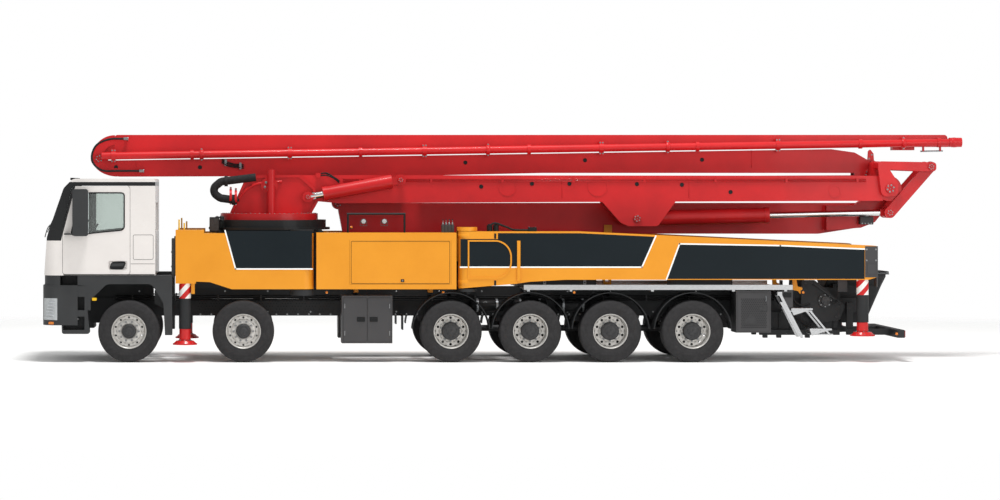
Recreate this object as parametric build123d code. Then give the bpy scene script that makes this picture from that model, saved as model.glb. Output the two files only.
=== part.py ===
from build123d import *
import math
import os

# Concrete pump truck with a five-section folding boom. Millimetres.
# +X points to the rear, +Z up, and -Y is the left side. The ground is Z 0.

os.makedirs("parts", exist_ok=True)

# ---- driving dimensions ----
BODY_HALF = 1250          # half width over cab, panels and tyres
CLEAR = 6                 # running gap between pieces that move past each other
PIN_GAP = 0.3             # gap between a pin and its bore, and between bodies that seat
TYRE_R = 535
TYRE_W = 385
RIM_R = 300
RAIL_HALF = 430           # frame rails, half width over their outer faces
RAIL_Z0 = 770
RAIL_Z1 = 1080
SUB_Z1 = 1260             # top of the subframe
CAB_FRONT = -8125
CAB_REAR = -6180
CAB_ROOF = 3170
CAB_FLOOR = 1500
CAB_WALL = 60
SLEW_X = -4200            # slewing axis of the turret
DECK_Z = 2236             # top of the side panels
RING_Z = 2450             # top of the slewing ring base

# axle name, X of its centre, steered
AXLES = [
    ("1", -6636, True),
    ("2", -4660, True),
    ("3", -1075, False),
    ("4", 296, False),
    ("5", 1677, False),
    ("6", 3097, False),
]
SIDES = [("left", -1), ("right", 1)]


# ---- small helpers ----
def box(x0, x1, y0, y1, z0, z1):
    middle = Pos((x0 + x1) / 2, (y0 + y1) / 2, (z0 + z1) / 2)
    return middle * Box(abs(x1 - x0), abs(y1 - y0), abs(z1 - z0))


def outline_wire(points):
    """Closed wire in the XZ plane. A point is (x, z) or (x, z, corner radius)."""
    spots = [(p[0], 0, p[1]) for p in points]
    radii = [p[2] if len(p) > 2 else 0 for p in points]
    if any(radii):
        return FilletPolyline(*spots, radius=radii, close=True)
    return Polyline(*spots, close=True)


def slab(points, y0, y1):
    """Side outline in XZ, extruded from y0 to y1."""
    low, high = min(y0, y1), max(y0, y1)
    face = Face(Wire(outline_wire(points).edges()))
    return Pos(0, low, 0) * extrude(face, amount=high - low, dir=(0, 1, 0))


def rod(axis, centre, radius, length):
    """Cylinder centred on a point, along the X, Y or Z axis."""
    turn = {"x": (0, 90, 0), "y": (90, 0, 0), "z": (0, 0, 0)}[axis]
    return Pos(*centre) * Rot(*turn) * Cylinder(radius, length)


def ring(axis, centre, outer, inner, length):
    return rod(axis, centre, outer, length) - rod(axis, centre, inner, length + 2)


def strut(start, end, radius):
    """Round bar between two points."""
    a, b = Vector(*start), Vector(*end)
    plane = Plane(origin=a, z_dir=b - a)
    return extrude(plane * Circle(radius), amount=(b - a).length)


def bar(start, end, width, y0, y1):
    """Flat bar between two (x, z) pins, with round ends."""
    dx, dz = end[0] - start[0], end[1] - start[1]
    span = math.hypot(dx, dz)
    turn = math.degrees(math.atan2(dz, dx))
    long = slab([(0, -width / 2), (span, -width / 2), (span, width / 2), (0, width / 2)], y0, y1)
    middle, depth = (y0 + y1) / 2, abs(y1 - y0)
    flat = long + rod("y", (0, middle, 0), width / 2, depth) + rod("y", (span, middle, 0), width / 2, depth)
    return Pos(start[0], 0, start[1]) * Rot(0, -turn, 0) * flat


def pipe(points, radius, bend):
    """Tube as a solid bar along straight runs with round bends."""
    path = FilletPolyline(*points, radius=bend)
    start = Plane(origin=path @ 0, z_dir=path % 0)
    return sweep(start * Circle(radius), path=path)


def fuse(pieces):
    whole = pieces[0]
    for piece in pieces[1:]:
        whole = whole + piece
    return whole


def save(name, pieces):
    """Write one node. Pieces that do not touch stay separate solids."""
    solids = []
    for piece in pieces:
        solids.extend(piece.solids())
    shape = solids[0] if len(solids) == 1 else Compound(solids)
    export_step(shape, "parts/" + name + ".step")


# ---- wheels, knuckles and axles ----
WHEEL_Y = BODY_HALF - TYRE_W / 2        # middle plane of a tyre
KINGPIN_Y = 790
HUB_R = 120
DRUM_R = 215
KINGPIN_R = 45


DISC_T = 12
FLAT_DEPTH = 60                         # wheel disc behind the tyre's outer face, steered axles
DISH_DEPTH = 165                        # the same on the other axles


def disc_depth(steered):
    return FLAT_DEPTH if steered else DISH_DEPTH


def tyre():
    """Tyre about the Y axis, outer face towards -Y."""
    half = TYRE_W / 2
    bead = RIM_R - 12
    shoulder = 32
    edge = [
        (bead, -half + 38), (RIM_R + 26, -half), (TYRE_R - 92, -half - 0), (TYRE_R - shoulder, -half + 12),
        (TYRE_R, -half + 44), (TYRE_R, half - 44), (TYRE_R - shoulder, half - 12),
        (TYRE_R - 92, half), (RIM_R + 26, half), (bead, half - 38),
    ]
    face = Plane.XY * make_face(Polyline(*edge, close=True))
    return revolve(face, axis=Axis.Y)


def rim(steered):
    """Disc wheel about the Y axis: flat disc in front, deep dish behind."""
    half = TYRE_W / 2
    out = RIM_R - 12 - PIN_GAP
    disc = -half + disc_depth(steered)
    inner = [
        (out, -half + 20), (out, half - 40), (out - 22, half - 40), (out - 22, disc + 50), (170, disc + DISC_T),
        (HUB_R + 20, disc + DISC_T), (HUB_R + 20, disc - 10), (170, disc - 10),
        (out - 40, disc + 18), (out - 22, disc - 6 if steered else -half + 60), (out - 22, -half + 20),
    ]
    shell = revolve(make_face(Polyline(*inner, close=True)), axis=Axis.Y)
    hole_r = 26
    holes = [
        Rot(0, 36 * k + 18, 0) * rod("y", (226, 0, 0), hole_r, TYRE_W)
        for k in range(10)
    ]
    hub = rod("y", (0, disc - 20, 0), HUB_R, 60)
    flange = rod("y", (0, disc + 1, 0), HUB_R + 25, 21)
    return (shell - holes) + hub + flange


for name, x, steered in AXLES:
    for side, sign in SIDES:
        pair = [tyre(), rim(steered)]
        if sign > 0:
            pair = [mirror(p, about=Plane.XZ) for p in pair]
        save("wheel_" + name + "_" + side, [Pos(x, sign * WHEEL_Y, TYRE_R) * p for p in pair])

DRUM_OUT = WHEEL_Y - 30                 # outer end of a brake drum, behind the wheel disc


def knuckle(x, sign):
    """Steering knuckle: kingpin boss, drum and arm."""
    boss = rod("z", (x, sign * KINGPIN_Y, TYRE_R), 75, 260) - rod("z", (x, sign * KINGPIN_Y, TYRE_R), KINGPIN_R, 300)
    drum_mid = (KINGPIN_Y + 70 + DRUM_OUT) / 2
    drum = rod("y", (x, sign * drum_mid, TYRE_R), DRUM_R, DRUM_OUT - KINGPIN_Y - 70)
    hub_end = BODY_HALF - disc_depth(True) - DISC_T - PIN_GAP
    hub = rod("y", (x, sign * (DRUM_OUT + hub_end) / 2, TYRE_R), HUB_R + 10, hub_end - DRUM_OUT)
    neck = rod("y", (x, sign * (KINGPIN_Y + 75), TYRE_R), 70, 60)
    arm = box(x + 55, x + 300, sign * (KINGPIN_Y - 40), sign * (KINGPIN_Y + 30), TYRE_R - 70, TYRE_R - 25)
    return fuse([boss, neck - rod("z", (x, sign * KINGPIN_Y, TYRE_R), KINGPIN_R, 300), drum, hub, arm])


for name, x, steered in AXLES:
    if steered:
        for side, sign in SIDES:
            save("knuckle_" + name + "_" + side, [knuckle(x, sign)])


def steer_axle(x):
    """Dropped beam with kingpins and its spring seats."""
    beam = box(x - 60, x + 60, -600, 600, TYRE_R - 110, TYRE_R)
    parts = [beam]
    for side, sign in SIDES:
        for z in (TYRE_R - 165, TYRE_R + 165):
            parts.append(box(x - 55, x + 55, sign * 560, sign * (KINGPIN_Y + 40), z - 30, z + 30))
        parts.append(box(x - 55, x + 55, sign * 560, sign * 640, TYRE_R - 165, TYRE_R + 165))
        parts.append(rod("z", (x, sign * KINGPIN_Y, TYRE_R), KINGPIN_R - PIN_GAP, 390))
        parts.append(box(x - 420, x + 420, sign * 330, sign * 400, TYRE_R, TYRE_R + 45))
        for end in (x - 420, x + 360):
            parts.append(box(end, end + 60, sign * 340, sign * 390, TYRE_R, RAIL_Z0 - PIN_GAP))
    return fuse(parts)


def drive_axle(x):
    """Axle tube, differential and drums, hung on air bellows and a wishbone."""
    tube = rod("y", (x, 0, TYRE_R), 85, 2 * (KINGPIN_Y + 60))
    diff = Pos(x, 0, TYRE_R) * Sphere(235)
    parts = [tube, diff]
    for side, sign in SIDES:
        drum_mid = (KINGPIN_Y + DRUM_OUT) / 2
        parts.append(rod("y", (x, sign * drum_mid, TYRE_R), DRUM_R, DRUM_OUT - KINGPIN_Y))
        hub_end = BODY_HALF - disc_depth(False) - DISC_T - PIN_GAP
        hub_mid = (DRUM_OUT + hub_end) / 2
        parts.append(rod("y", (x, sign * hub_mid, TYRE_R), HUB_R + 10, hub_end - DRUM_OUT))
        bellows_h = RAIL_Z0 - PIN_GAP - (TYRE_R - 20)
        parts.append(rod("z", (x + 260, sign * 350, TYRE_R - 20 + bellows_h / 2), 110, bellows_h))
        parts.append(box(x - 60, x + 340, sign * 280, sign * 420, TYRE_R - 100, TYRE_R - 20))
        parts.append(strut((x - 40, sign * 350, TYRE_R), (x - 480, sign * 350, RAIL_Z0 - 50), 35))
        parts.append(box(x - 520, x - 440, sign * 310, sign * 390, RAIL_Z0 - 95, RAIL_Z0 - PIN_GAP))
    return fuse(parts)


axle_pieces = []
for name, x, steered in AXLES:
    axle_pieces.append(steer_axle(x) if steered else drive_axle(x))
shaft_y = 0
shaft = rod("x", ((AXLES[2][1] + AXLES[5][1]) / 2, shaft_y, TYRE_R), 55, AXLES[5][1] - AXLES[2][1])
axle_pieces.append(shaft)
save("axle_beams", [fuse(axle_pieces)])

# ---- chassis frame ----
RAIL_W = 85
SUB_HALF = RAIL_HALF + 20
FRAME_FRONT = -7850
FRAME_REAR = 6300
# X of each cross member, with its lowest and highest Z
CROSSES = [
    (-7600, 830, 1040), (-6050, 830, 1040), (-4550, 830, 1040), (-3050, 830, 1040), (-1600, 830, 1040), (-350, 830, 1040),
    (950, 830, 1040), (2400, 1036, 1076), (3850, 1036, 1076), (4900, 1036, 1076),
]

frame_parts = []
for side, sign in SIDES:
    rail = slab([(FRAME_FRONT, RAIL_Z0 + 60), (FRAME_FRONT, RAIL_Z1), (FRAME_REAR, RAIL_Z1),
                 (FRAME_REAR, RAIL_Z0 + 90), (FRAME_REAR - 700, RAIL_Z0), (FRAME_FRONT + 500, RAIL_Z0)],
                sign * (RAIL_HALF - RAIL_W), sign * RAIL_HALF)
    groove = box(FRAME_FRONT + 600, FRAME_REAR - 800, sign * (RAIL_HALF - RAIL_W), sign * (RAIL_HALF - 12),
                 RAIL_Z0 + 14, RAIL_Z1 - 14)
    frame_parts.append(rail - groove)
    frame_parts.append(box(-5560, FRAME_REAR - 500, sign * (RAIL_HALF - 110), sign * SUB_HALF, RAIL_Z1, SUB_Z1))
for x, z0, z1 in CROSSES:
    frame_parts.append(box(x - 50, x + 50, -RAIL_HALF + 12, RAIL_HALF - 12, z0, z1))
save("chassis_frame", [fuse(frame_parts)])

# ---- cab ----
WINDSCREEN_FOOT_Z = 2160
DOOR_X0 = -7775
DOOR_X1 = -6617
DOOR_Z0 = 1510
DOOR_Z1 = 3040
GLASS_T = 6


def cab_body(inset):
    """Cab outline shrunk by a wall, with its front corners rounded in plan."""
    profile = [
        (CAB_FRONT + 20 + inset, CAB_FLOOR + inset), (CAB_FRONT + 70 + inset, WINDSCREEN_FOOT_Z, 40),
        (-7760 + inset * 1.1, 3010 - inset, 160 - inset), (-7600 + inset, CAB_ROOF - inset, 140 - inset),
        (CAB_REAR - inset, CAB_ROOF - inset, 30), (CAB_REAR - inset, CAB_FLOOR + inset),
    ]
    side = slab(profile, -BODY_HALF + inset, BODY_HALF - inset)
    front = CAB_FRONT + inset
    half = BODY_HALF - inset
    corner = 260 - inset
    plan = FilletPolyline((front, -half), (CAB_REAR + 10, -half), (CAB_REAR + 10, half), (front, half),
                          radius=[corner, 0.0, 0.0, corner], close=True)
    footprint = Face(Wire(plan.edges()))
    column = Pos(0, 0, CAB_FLOOR - 10) * extrude(footprint, amount=CAB_ROOF - CAB_FLOOR + 20, dir=(0, 0, 1))
    return side & column


def door_outline(grow):
    return [
        (DOOR_X0 - grow, DOOR_Z0 - grow, 60), (DOOR_X0 - grow, 2300, 40), (DOOR_X0 + 165 - grow, DOOR_Z1 + grow, 70),
        (DOOR_X1 + grow, DOOR_Z1 + grow, 50), (DOOR_X1 + grow, DOOR_Z0 - grow, 60),
    ]


def window_outline(grow):
    return [
        (-7640 - grow, 2185 - grow, 60), (-7470 - grow, 2925 + grow, 90), (-6715 + grow, 2925 + grow, 60),
        (-6715 + grow, 2285 - grow, 80), (-7180, 2240 - grow),
    ]


cab_outer = cab_body(0)
cab_inner = cab_body(CAB_WALL)
cab_skin = cab_outer - cab_inner
WIDE = BODY_HALF + 100
SCREEN_HALF = 1060
door_hole = slab(door_outline(CLEAR), -WIDE, WIDE) - box(-9000, 0, -BODY_HALF + CAB_WALL + 60, BODY_HALF - CAB_WALL - 60, 0, 4000)
screen_hole = slab([(-8300, WINDSCREEN_FOOT_Z + 75, 0), (-8300, 2960, 0), (-7600, 2960, 0), (-7720, WINDSCREEN_FOOT_Z + 75, 0)],
                   -SCREEN_HALF, SCREEN_HALF)
rear_window = slab([(-6300, 2250), (-6300, 2750), (-6100, 2750), (-6100, 2250)], -520, 520)
cab_shell = cab_skin - door_hole - screen_hole - rear_window
tunnel_cover = box(CAB_FRONT + 700, CAB_REAR - CAB_WALL, -480, 480, CAB_FLOOR + CAB_WALL, CAB_FLOOR + 260)
save("cab_shell", [cab_shell + tunnel_cover])

for side, sign in SIDES:
    half_space = box(-9000, 0, sign * (BODY_HALF - CAB_WALL - 60), sign * WIDE, 0, 4000)
    door = cab_skin & slab(door_outline(0), -WIDE, WIDE) & half_space
    door = door - slab(window_outline(0), -WIDE, WIDE)
    pocket = slab([(-6985, 1600, 25), (-6985, 1750, 25), (-6665, 1750, 25), (-6665, 1600, 25)],
                  sign * (BODY_HALF - 22), sign * WIDE)
    handle = slab([(-6960, 1700, 8), (-6960, 1735, 8), (-6690, 1735, 8), (-6690, 1700, 8)],
                  sign * (BODY_HALF - 25), sign * (BODY_HALF - 6))
    arms = []
    for x0, x1, z in ((-7745, -7650, 2215), (-7610, -7520, 2975)):
        arms.append(box(x0, x1, sign * (BODY_HALF - 30), sign * (BODY_HALF + 120), z - 12, z + 12))
        arms.append(box(x0, -7520, sign * (BODY_HALF + 95), sign * (BODY_HALF + 120), z - 12, z + 12))
    housing = slab([(-7600, 2180, 45), (-7600, 2990, 45), (-7330, 2990, 45), (-7330, 2180, 45)],
                   sign * (BODY_HALF + 90), sign * (BODY_HALF + 190))
    save("cab_door_" + side, [fuse([door - pocket, handle] + arms + [housing])])
    pane = (cab_outer - cab_body(GLASS_T)) & slab(window_outline(-PIN_GAP), -WIDE, WIDE) & half_space
    save("door_glass_" + side, [Pos(0, -sign * 20, 0) * pane])

screen = (cab_outer - cab_body(GLASS_T + 2)) & slab([(-8300, WINDSCREEN_FOOT_Z + 75.3), (-8300, 2959.7),
                                                     (-7600, 2959.7), (-7720, WINDSCREEN_FOOT_Z + 75.3)],
                                                    -SCREEN_HALF + PIN_GAP, SCREEN_HALF - PIN_GAP)
back_glass = box(CAB_REAR - 40, CAB_REAR - 34, -519.7, 519.7, 2250.3, 2749.7)
save("cab_glass", [Pos(18, 0, 0) * screen, back_glass])

# ---- cab front, bumper and wheel arches ----
ARCH_X0 = -7290           # front edge of the front wheel arch
ARCH_X1 = -5890           # its rear edge
BUMPER_Z0 = 640


def rounded_plan(front, rear, half, corner, z0, z1):
    plan = FilletPolyline((front, -half), (rear, -half), (rear, half), (front, half),
                          radius=[corner, 0.0, 0.0, corner], close=True)
    return Pos(0, 0, z0) * extrude(Face(Wire(plan.edges())), amount=z1 - z0, dir=(0, 0, 1))


FASCIA_IN = 70            # wall of the bumper and fascia
grille = rounded_plan(CAB_FRONT + 25, -7820, BODY_HALF - 1, 255, 1330, CAB_FLOOR - PIN_GAP)
grille = grille - rounded_plan(CAB_FRONT + 25 + FASCIA_IN, -7800, BODY_HALF - FASCIA_IN, 190, 1300, CAB_FLOOR + 10)
slots = [box(CAB_FRONT, CAB_FRONT + 50, -760, 760, z, z + 26) for z in (1352, 1400, 1448)]
grille = grille - slots

bumper = rounded_plan(CAB_FRONT - 5, -7520, BODY_HALF, 270, BUMPER_Z0, 1330 - PIN_GAP)
bumper = bumper - rounded_plan(CAB_FRONT + 65, -7500, BODY_HALF - 70, 200, BUMPER_Z0 - 10, 1340)
bumper = bumper - [box(CAB_FRONT - 20, CAB_FRONT + 45, -560, 560, 760, 1000)]
bumper = bumper - [box(CAB_FRONT - 20, CAB_FRONT + 45, -700, 700, 1110, 1180)]
lamp_cuts = []
lamps = []
for side, sign in SIDES:
    cut = box(-8110, -7870, sign * 800, sign * (BODY_HALF + 10), 730, 1105)
    lamp_cuts.append(cut)
    whole = rounded_plan(CAB_FRONT - 5, -7520, BODY_HALF, 270, 730 + PIN_GAP, 1105 - PIN_GAP)
    whole = whole - rounded_plan(CAB_FRONT + 60, -7500, BODY_HALF - 60, 205, 700, 1200)
    lamps.append(whole & box(-8110, -7870 - PIN_GAP, sign * (800 + PIN_GAP), sign * (BODY_HALF + 10), 700, 1200))
bumper = bumper - lamp_cuts


save("bumper_and_grille", [bumper, grille])

arch_parts = []
for side, sign in SIDES:
    # stepped entry box ahead of the wheel, two treads
    entry = slab([(-7790, 490, 40), (-7820, 1320), (ARCH_X0 - 60, 1320), (ARCH_X0 - 60, 900), (ARCH_X0 - 20, 490, 40)],
                 sign * 880, sign * (BODY_HALF - 4))
    for z in (560, 900):
        entry = entry - box(-7770, -7400, sign * 1030, sign * WIDE, z, z + 230)
    entry = entry - box(-7830, -7520, sign * 800, sign * BODY_HALF, BUMPER_Z0 - PIN_GAP, 1340)
    arch_parts.append(entry)
    fender = slab([(-7520, 1330), (-7520, CAB_FLOOR - PIN_GAP), (ARCH_X1, CAB_FLOOR - PIN_GAP), (ARCH_X1, 470),
                   (-6012, 470), (-6040, 1020), (-6240, 1350, 120), (-7020, 1350, 160), (ARCH_X0 - 5, 1080), (ARCH_X0 - 5, 900),
                   (ARCH_X0 - 60, 900), (ARCH_X0 - 60, 1320)],
                  sign * 905, sign * (BODY_HALF - 2))
    hollow = slab([(-7480, 1370), (-7480, 1460), (-6100, 1460), (-6100, 1370)], sign * 900, sign * 1190)
    arch_parts.append(fender - hollow)
for side, sign in SIDES:
    arch_parts.append(box(-7520, -7440, sign * 460, sign * 905, 1390, 1450))
    arch_parts.append(box(-7520, -7440, sign * (RAIL_HALF + PIN_GAP), sign * 520, 900, 1450))
    arch_parts.append(box(-5990, -5910, sign * 460, sign * 905, 1390, 1450))
    arch_parts.append(box(-5990, -5910, sign * (RAIL_HALF + PIN_GAP), sign * 520, 900, 1450))
sweep_r = math.hypot(TYRE_R, BODY_HALF - KINGPIN_Y) + CLEAR
wheel_sweep = [rod("z", (AXLES[0][1], sign * KINGPIN_Y, 560), sweep_r, 1140) for side, sign in SIDES]
arch_parts = [p - wheel_sweep for p in arch_parts]
left_arch = [p for p in arch_parts if p.center().Y < 0]
right_arch = [p for p in arch_parts if p.center().Y > 0]
save("cab_steps_and_fenders", [fuse(left_arch), fuse(right_arch)])

engine = box(-7540, -6250, -400, 400, RAIL_Z1 + PIN_GAP, CAB_FLOOR - 30) + box(-7500, -6300, -300, 300, 640, RAIL_Z1 + 20)
save("engine_block", [engine])

# ---- support frame with the slewing ring base ----
PEDESTAL_HALF = 640
RING_R = 1000
pedestal = slab([(-5560, SUB_Z1 + PIN_GAP), (-5560, 1900, 60), (-5050, 2290), (-3300, 2290), (-2960, 1900, 60),
                 (-2960, SUB_Z1 + PIN_GAP)], -PEDESTAL_HALF, PEDESTAL_HALF)
ring_base = rod("z", (SLEW_X, 0, (2290 + RING_Z) / 2), RING_R, RING_Z - 2290) + rod("z", (SLEW_X, 0, 2300), RING_R + 70, 40)
FRONT_PIVOT = (-3640, 1050)
FRONT_ARM_HALF = 198
pivot_shelves = []
for side, sign in SIDES:
    for z0, z1 in ((1150, 1250), (2240, 2285)):
        pivot_shelves.append(box(-3840, -3440, sign * (PEDESTAL_HALF - 10), sign * FRONT_PIVOT[1], z0, z1))
        pivot_shelves.append(rod("z", (FRONT_PIVOT[0], sign * FRONT_PIVOT[1], (z0 + z1) / 2), 190, z1 - z0))
    pivot_shelves.append(rod("z", (FRONT_PIVOT[0], sign * FRONT_PIVOT[1], 1740), 60, 1050))
support = fuse([pedestal, ring_base] + pivot_shelves)

# ---- front outrigger arms, swung about a vertical pin at their rear ----
LEG_R = 84                # sliding leg
LEG_TUBE_R = 102          # its outer tube
LEG_GAP = 1
FOOT_R = 212
FRONT_LEG = (-5670, 1100)
REAR_LEG = (6050, 1092)


def leg_tube(spot, sign, z0, z1):
    return rod("z", (spot[0], sign * spot[1], (z0 + z1) / 2), LEG_TUBE_R, z1 - z0)


def leg_bore(spot, sign, z0, z1):
    return rod("z", (spot[0], sign * spot[1], (z0 + z1) / 2), LEG_R + LEG_GAP, z1 - z0)


def jack_leg(spot, sign, foot_z, end_z, top_z):
    """Sliding leg with a thicker lower end, a ball and a round foot plate."""
    x, y = spot[0], sign * spot[1]
    shaft_part = rod("z", (x, y, (foot_z + 60 + top_z) / 2), LEG_R, top_z - foot_z - 60)
    end = rod("z", (x, y, (foot_z + 50 + end_z) / 2), LEG_TUBE_R - 4, end_z - foot_z - 50)
    foot = Pos(x, y, foot_z + 34) * Cone(FOOT_R, FOOT_R - 60, 68)
    rim_part = rod("z", (x, y, foot_z + 12), FOOT_R, 24)
    return fuse([shaft_part, end, foot, rim_part])


FRONT_ARM_SIDE = [
    (-5830, 1405), (-5240, 1385, 60), (-4860, 1262, 60), (-3300, 1262), (-3300, 2225), (-5340, 2225),
    (-5340, 2284), (-5830, 2284),
]
for side, sign in SIDES:
    y_out = sign * (FRONT_PIVOT[1] + FRONT_ARM_HALF)
    y_in = sign * (FRONT_PIVOT[1] - FRONT_ARM_HALF)
    plan = box(-5830, FRONT_PIVOT[0], y_in, y_out, 1000, 2500)
    plan = plan + rod("z", (FRONT_PIVOT[0], sign * FRONT_PIVOT[1], 1750), FRONT_ARM_HALF, 1500)
    arm = slab(FRONT_ARM_SIDE, y_in, y_out) & plan
    arm = arm - rod("z", (FRONT_PIVOT[0], sign * FRONT_PIVOT[1], 1750), 60 + PIN_GAP, 1500)
    tube = leg_tube(FRONT_LEG, sign, 580, 1700)
    brackets = [box(-5830, -5480, y_in, y_out, 1360, 1420), box(-5560, -5500, sign * 1000, sign * 1200, 1180, 1400)]
    posts = [rod("z", (-5770, sign * 1200, 2370), 14, 190), rod("z", (-5680, sign * 1200, 2340), 14, 130)]
    arm = fuse([arm, tube] + brackets + posts) - leg_bore(FRONT_LEG, sign, 500, 2150)
    save("front_outrigger_" + side, [arm])
    save("front_leg_" + side, [jack_leg(FRONT_LEG, sign, 300, 572, 2130)])

# ---- rear outrigger arms, swung about a vertical pin at their front ----
REAR_PIVOT = (-790, 1092)
REAR_ARM_HALF = 156
REAR_PIN_R = 55
LOOP_RIB = 26             # width of the raised rib round the arm's hinge end
LOOP_PROUD = 12
LOOP_X0 = REAR_PIVOT[0]   # the rib starts at the pivot, so it swings clear of the side box
POST_PROUD = 30
REAR_ARM_SIDE = [
    (-945, 1273), (40, 1356, 300), (270, 1390, 200), (900, 1425, 300), (6120, 1425), (6280, 1470),
    (6280, 2010, 40), (4600, 2090), (2440, 2198), (1150, 2258), (-945, 2258),
]


def loop_outline(inset):
    """D-shaped outline of the rib, shrunk by inset."""
    return [(LOOP_X0 + inset, 1440 + inset), (LOOP_X0 + inset, 2110 - inset), (-30 - inset, 2110 - inset, 290 - inset),
            (-30 - inset, 1440 + inset, 290 - inset)]


for side, sign in SIDES:
    y_out = sign * (REAR_PIVOT[1] + REAR_ARM_HALF)
    y_in = sign * (REAR_PIVOT[1] - REAR_ARM_HALF)
    plan = box(REAR_PIVOT[0], 6290, y_in, y_out, 1000, 2500)
    plan = plan + rod("z", (REAR_PIVOT[0], sign * REAR_PIVOT[1], 1750), REAR_ARM_HALF, 1500)
    arm = slab(REAR_ARM_SIDE, y_in, y_out) & plan
    arm = arm - rod("z", (REAR_PIVOT[0], sign * REAR_PIVOT[1], 1750), REAR_PIN_R + PIN_GAP, 1500)
    tube = leg_tube(REAR_LEG, sign, 690, 1700)
    loop = slab(loop_outline(0), y_out - sign, y_out + sign * LOOP_PROUD)
    loop = loop - slab(loop_outline(LOOP_RIB), y_out - sign * 5, y_out + sign * (LOOP_PROUD + 5))
    post = box(60, 115, y_out - sign, y_out + sign * POST_PROUD, 1400, 2100)
    arm = fuse([arm, tube, loop, post]) - leg_bore(REAR_LEG, sign, 500, 2010)
    save("rear_outrigger_" + side, [arm])
    save("rear_leg_" + side, [jack_leg(REAR_LEG, sign, 450, 682, 1990)])

BOX_X0 = -3405
BOX_X1 = -985
BOX_IN = 830              # inner face of the side boxes, clear of the boom

# hinge brackets that carry the rear arms
bracket_parts = [box(-960, -600, -900, 900, 1740, 2120), box(-960, -600, -640, 640, SUB_Z1 + PIN_GAP, 1740)]
for side, sign in SIDES:
    for z0, z1 in ((1215, 1266), (2265, 2330)):
        bracket_parts.append(box(-955, -615, sign * BOX_IN, sign * REAR_PIVOT[1], z0, z1))
        bracket_parts.append(rod("z", (REAR_PIVOT[0], sign * REAR_PIVOT[1], (z0 + z1) / 2), REAR_ARM_HALF - 4, z1 - z0))
    bracket_parts.append(box(-955, -615, sign * BOX_IN, sign * 860, 1215, 2330))
    bracket_parts.append(rod("z", (REAR_PIVOT[0], sign * REAR_PIVOT[1], 1740), REAR_PIN_R, 1130))
save("support_frame", [support, fuse(bracket_parts)])

# ---- side boxes ----
GUARD_BAR_Y = 1060
box_parts = []
for side, sign in SIDES:
    y_out, y_in = sign * (BODY_HALF - 2), sign * BOX_IN
    body = box(BOX_X0 + 5, BOX_X1, y_in, y_out, 1262, DECK_Z)
    cavity = box(-2830, -1075, sign * (BOX_IN + 20), sign * WIDE, 1345, 2110)
    for x in (-2700, -1400):
        body = body + box(x - 40, x + 40, sign * (SUB_HALF + PIN_GAP), sign * (BOX_IN + 10), 1190, 1290)
    body = body - cavity
    nose_cut = rod("z", (FRONT_PIVOT[0], sign * FRONT_PIVOT[1], 1750), FRONT_ARM_HALF + CLEAR, 1500)
    box_parts.append(body - nose_cut - rod("z", (REAR_PIVOT[0], sign * REAR_PIVOT[1], 1750), REAR_ARM_HALF + CLEAR, 1500))
    door = box(-2830 + CLEAR / 2, -1075 - CLEAR / 2, sign * (BODY_HALF - 32), sign * (BODY_HALF - 2), 1345 + CLEAR / 2, 2110 - PIN_GAP)
    lock = slab([(-1965, 1385, 12), (-1965, 1435, 12), (-1865, 1435, 12), (-1865, 1385, 12)], sign * (BODY_HALF - 4), sign * (BODY_HALF + 4))
    save("toolbox_door_" + side, [door + lock])
    for x in (-2850, -1870):
        box_parts.append(rod("z", (x, sign * GUARD_BAR_Y, (DECK_Z + 2560) / 2), 18, 2560 - DECK_Z))
    box_parts.append(rod("x", (-2360, sign * GUARD_BAR_Y, 2560), 18, 1016))
save("toolboxes", [fuse([p for p in box_parts if p.center().Y < 0]), fuse([p for p in box_parts if p.center().Y > 0])])

# ---- lower boxes, deck, mudguards, ladder ----
deck_parts = []
low_boxes = [box(-2960, -2085, sign * 640, sign * 1180, 325, 1148) for side, sign in SIDES]
perforated = [box(3850, 4450, sign * 640, sign * 1190, 510, 1232) for side, sign in SIDES]
hangers = []
for side, sign in SIDES:
    for x0, x1 in ((-2900, -2820), (-2220, -2140), (3900, 3980), (4320, 4400)):
        hangers.append(box(x0, x1, sign * (RAIL_HALF + PIN_GAP), sign * 650, 900, 1040))
save("lower_boxes", [fuse([p for p in low_boxes + perforated + hangers if p.center().Y * s > 0 and p.center().X * e > 0])
                     for s in (-1, 1) for e in (-1, 1)])

GUARD_R = 660
GUARD_T = 12
guards = []
for side, sign in SIDES:
    for name, x, steered in AXLES[2:]:
        shell = ring("y", (x, sign * WHEEL_Y, TYRE_R), GUARD_R + GUARD_T, GUARD_R, TYRE_W)
        shell = shell & box(x - 684, x + 684, sign * 800, sign * WIDE, TYRE_R + 40, 1300)
        guards.append(shell)
        guards.append(box(x - 20, x + 20, sign * (SUB_HALF + PIN_GAP), sign * (WHEEL_Y - TYRE_W / 2), 1130, 1170))
        guards.append(box(x - 20, x + 20, sign * (WHEEL_Y - TYRE_W / 2 - 40), sign * (WHEEL_Y - TYRE_W / 2), 1130, 1200))
    flap = box(-1920, -1900, sign * 870, sign * 1245, 560, 810)
    guards.append(flap + box(-1920, -1890, sign * (RAIL_HALF + PIN_GAP), sign * 880, 780, 810))
save("mudguards", guards)

DECK_EDGE = 1222
for side, sign in SIDES:
    deck_parts.append(box(180, 4820, sign * (DECK_EDGE - 14), sign * DECK_EDGE, 1250, 1336))
    deck_parts.append(box(180, 4820, sign * (RAIL_HALF + 30), sign * (DECK_EDGE - 14), 1262, 1270))
    for x in (260, 1000, 2400, 3800, 4700):
        deck_parts.append(box(x - 25, x + 25, sign * (SUB_HALF + PIN_GAP), sign * (DECK_EDGE - 14), 1222, 1262))

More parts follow.
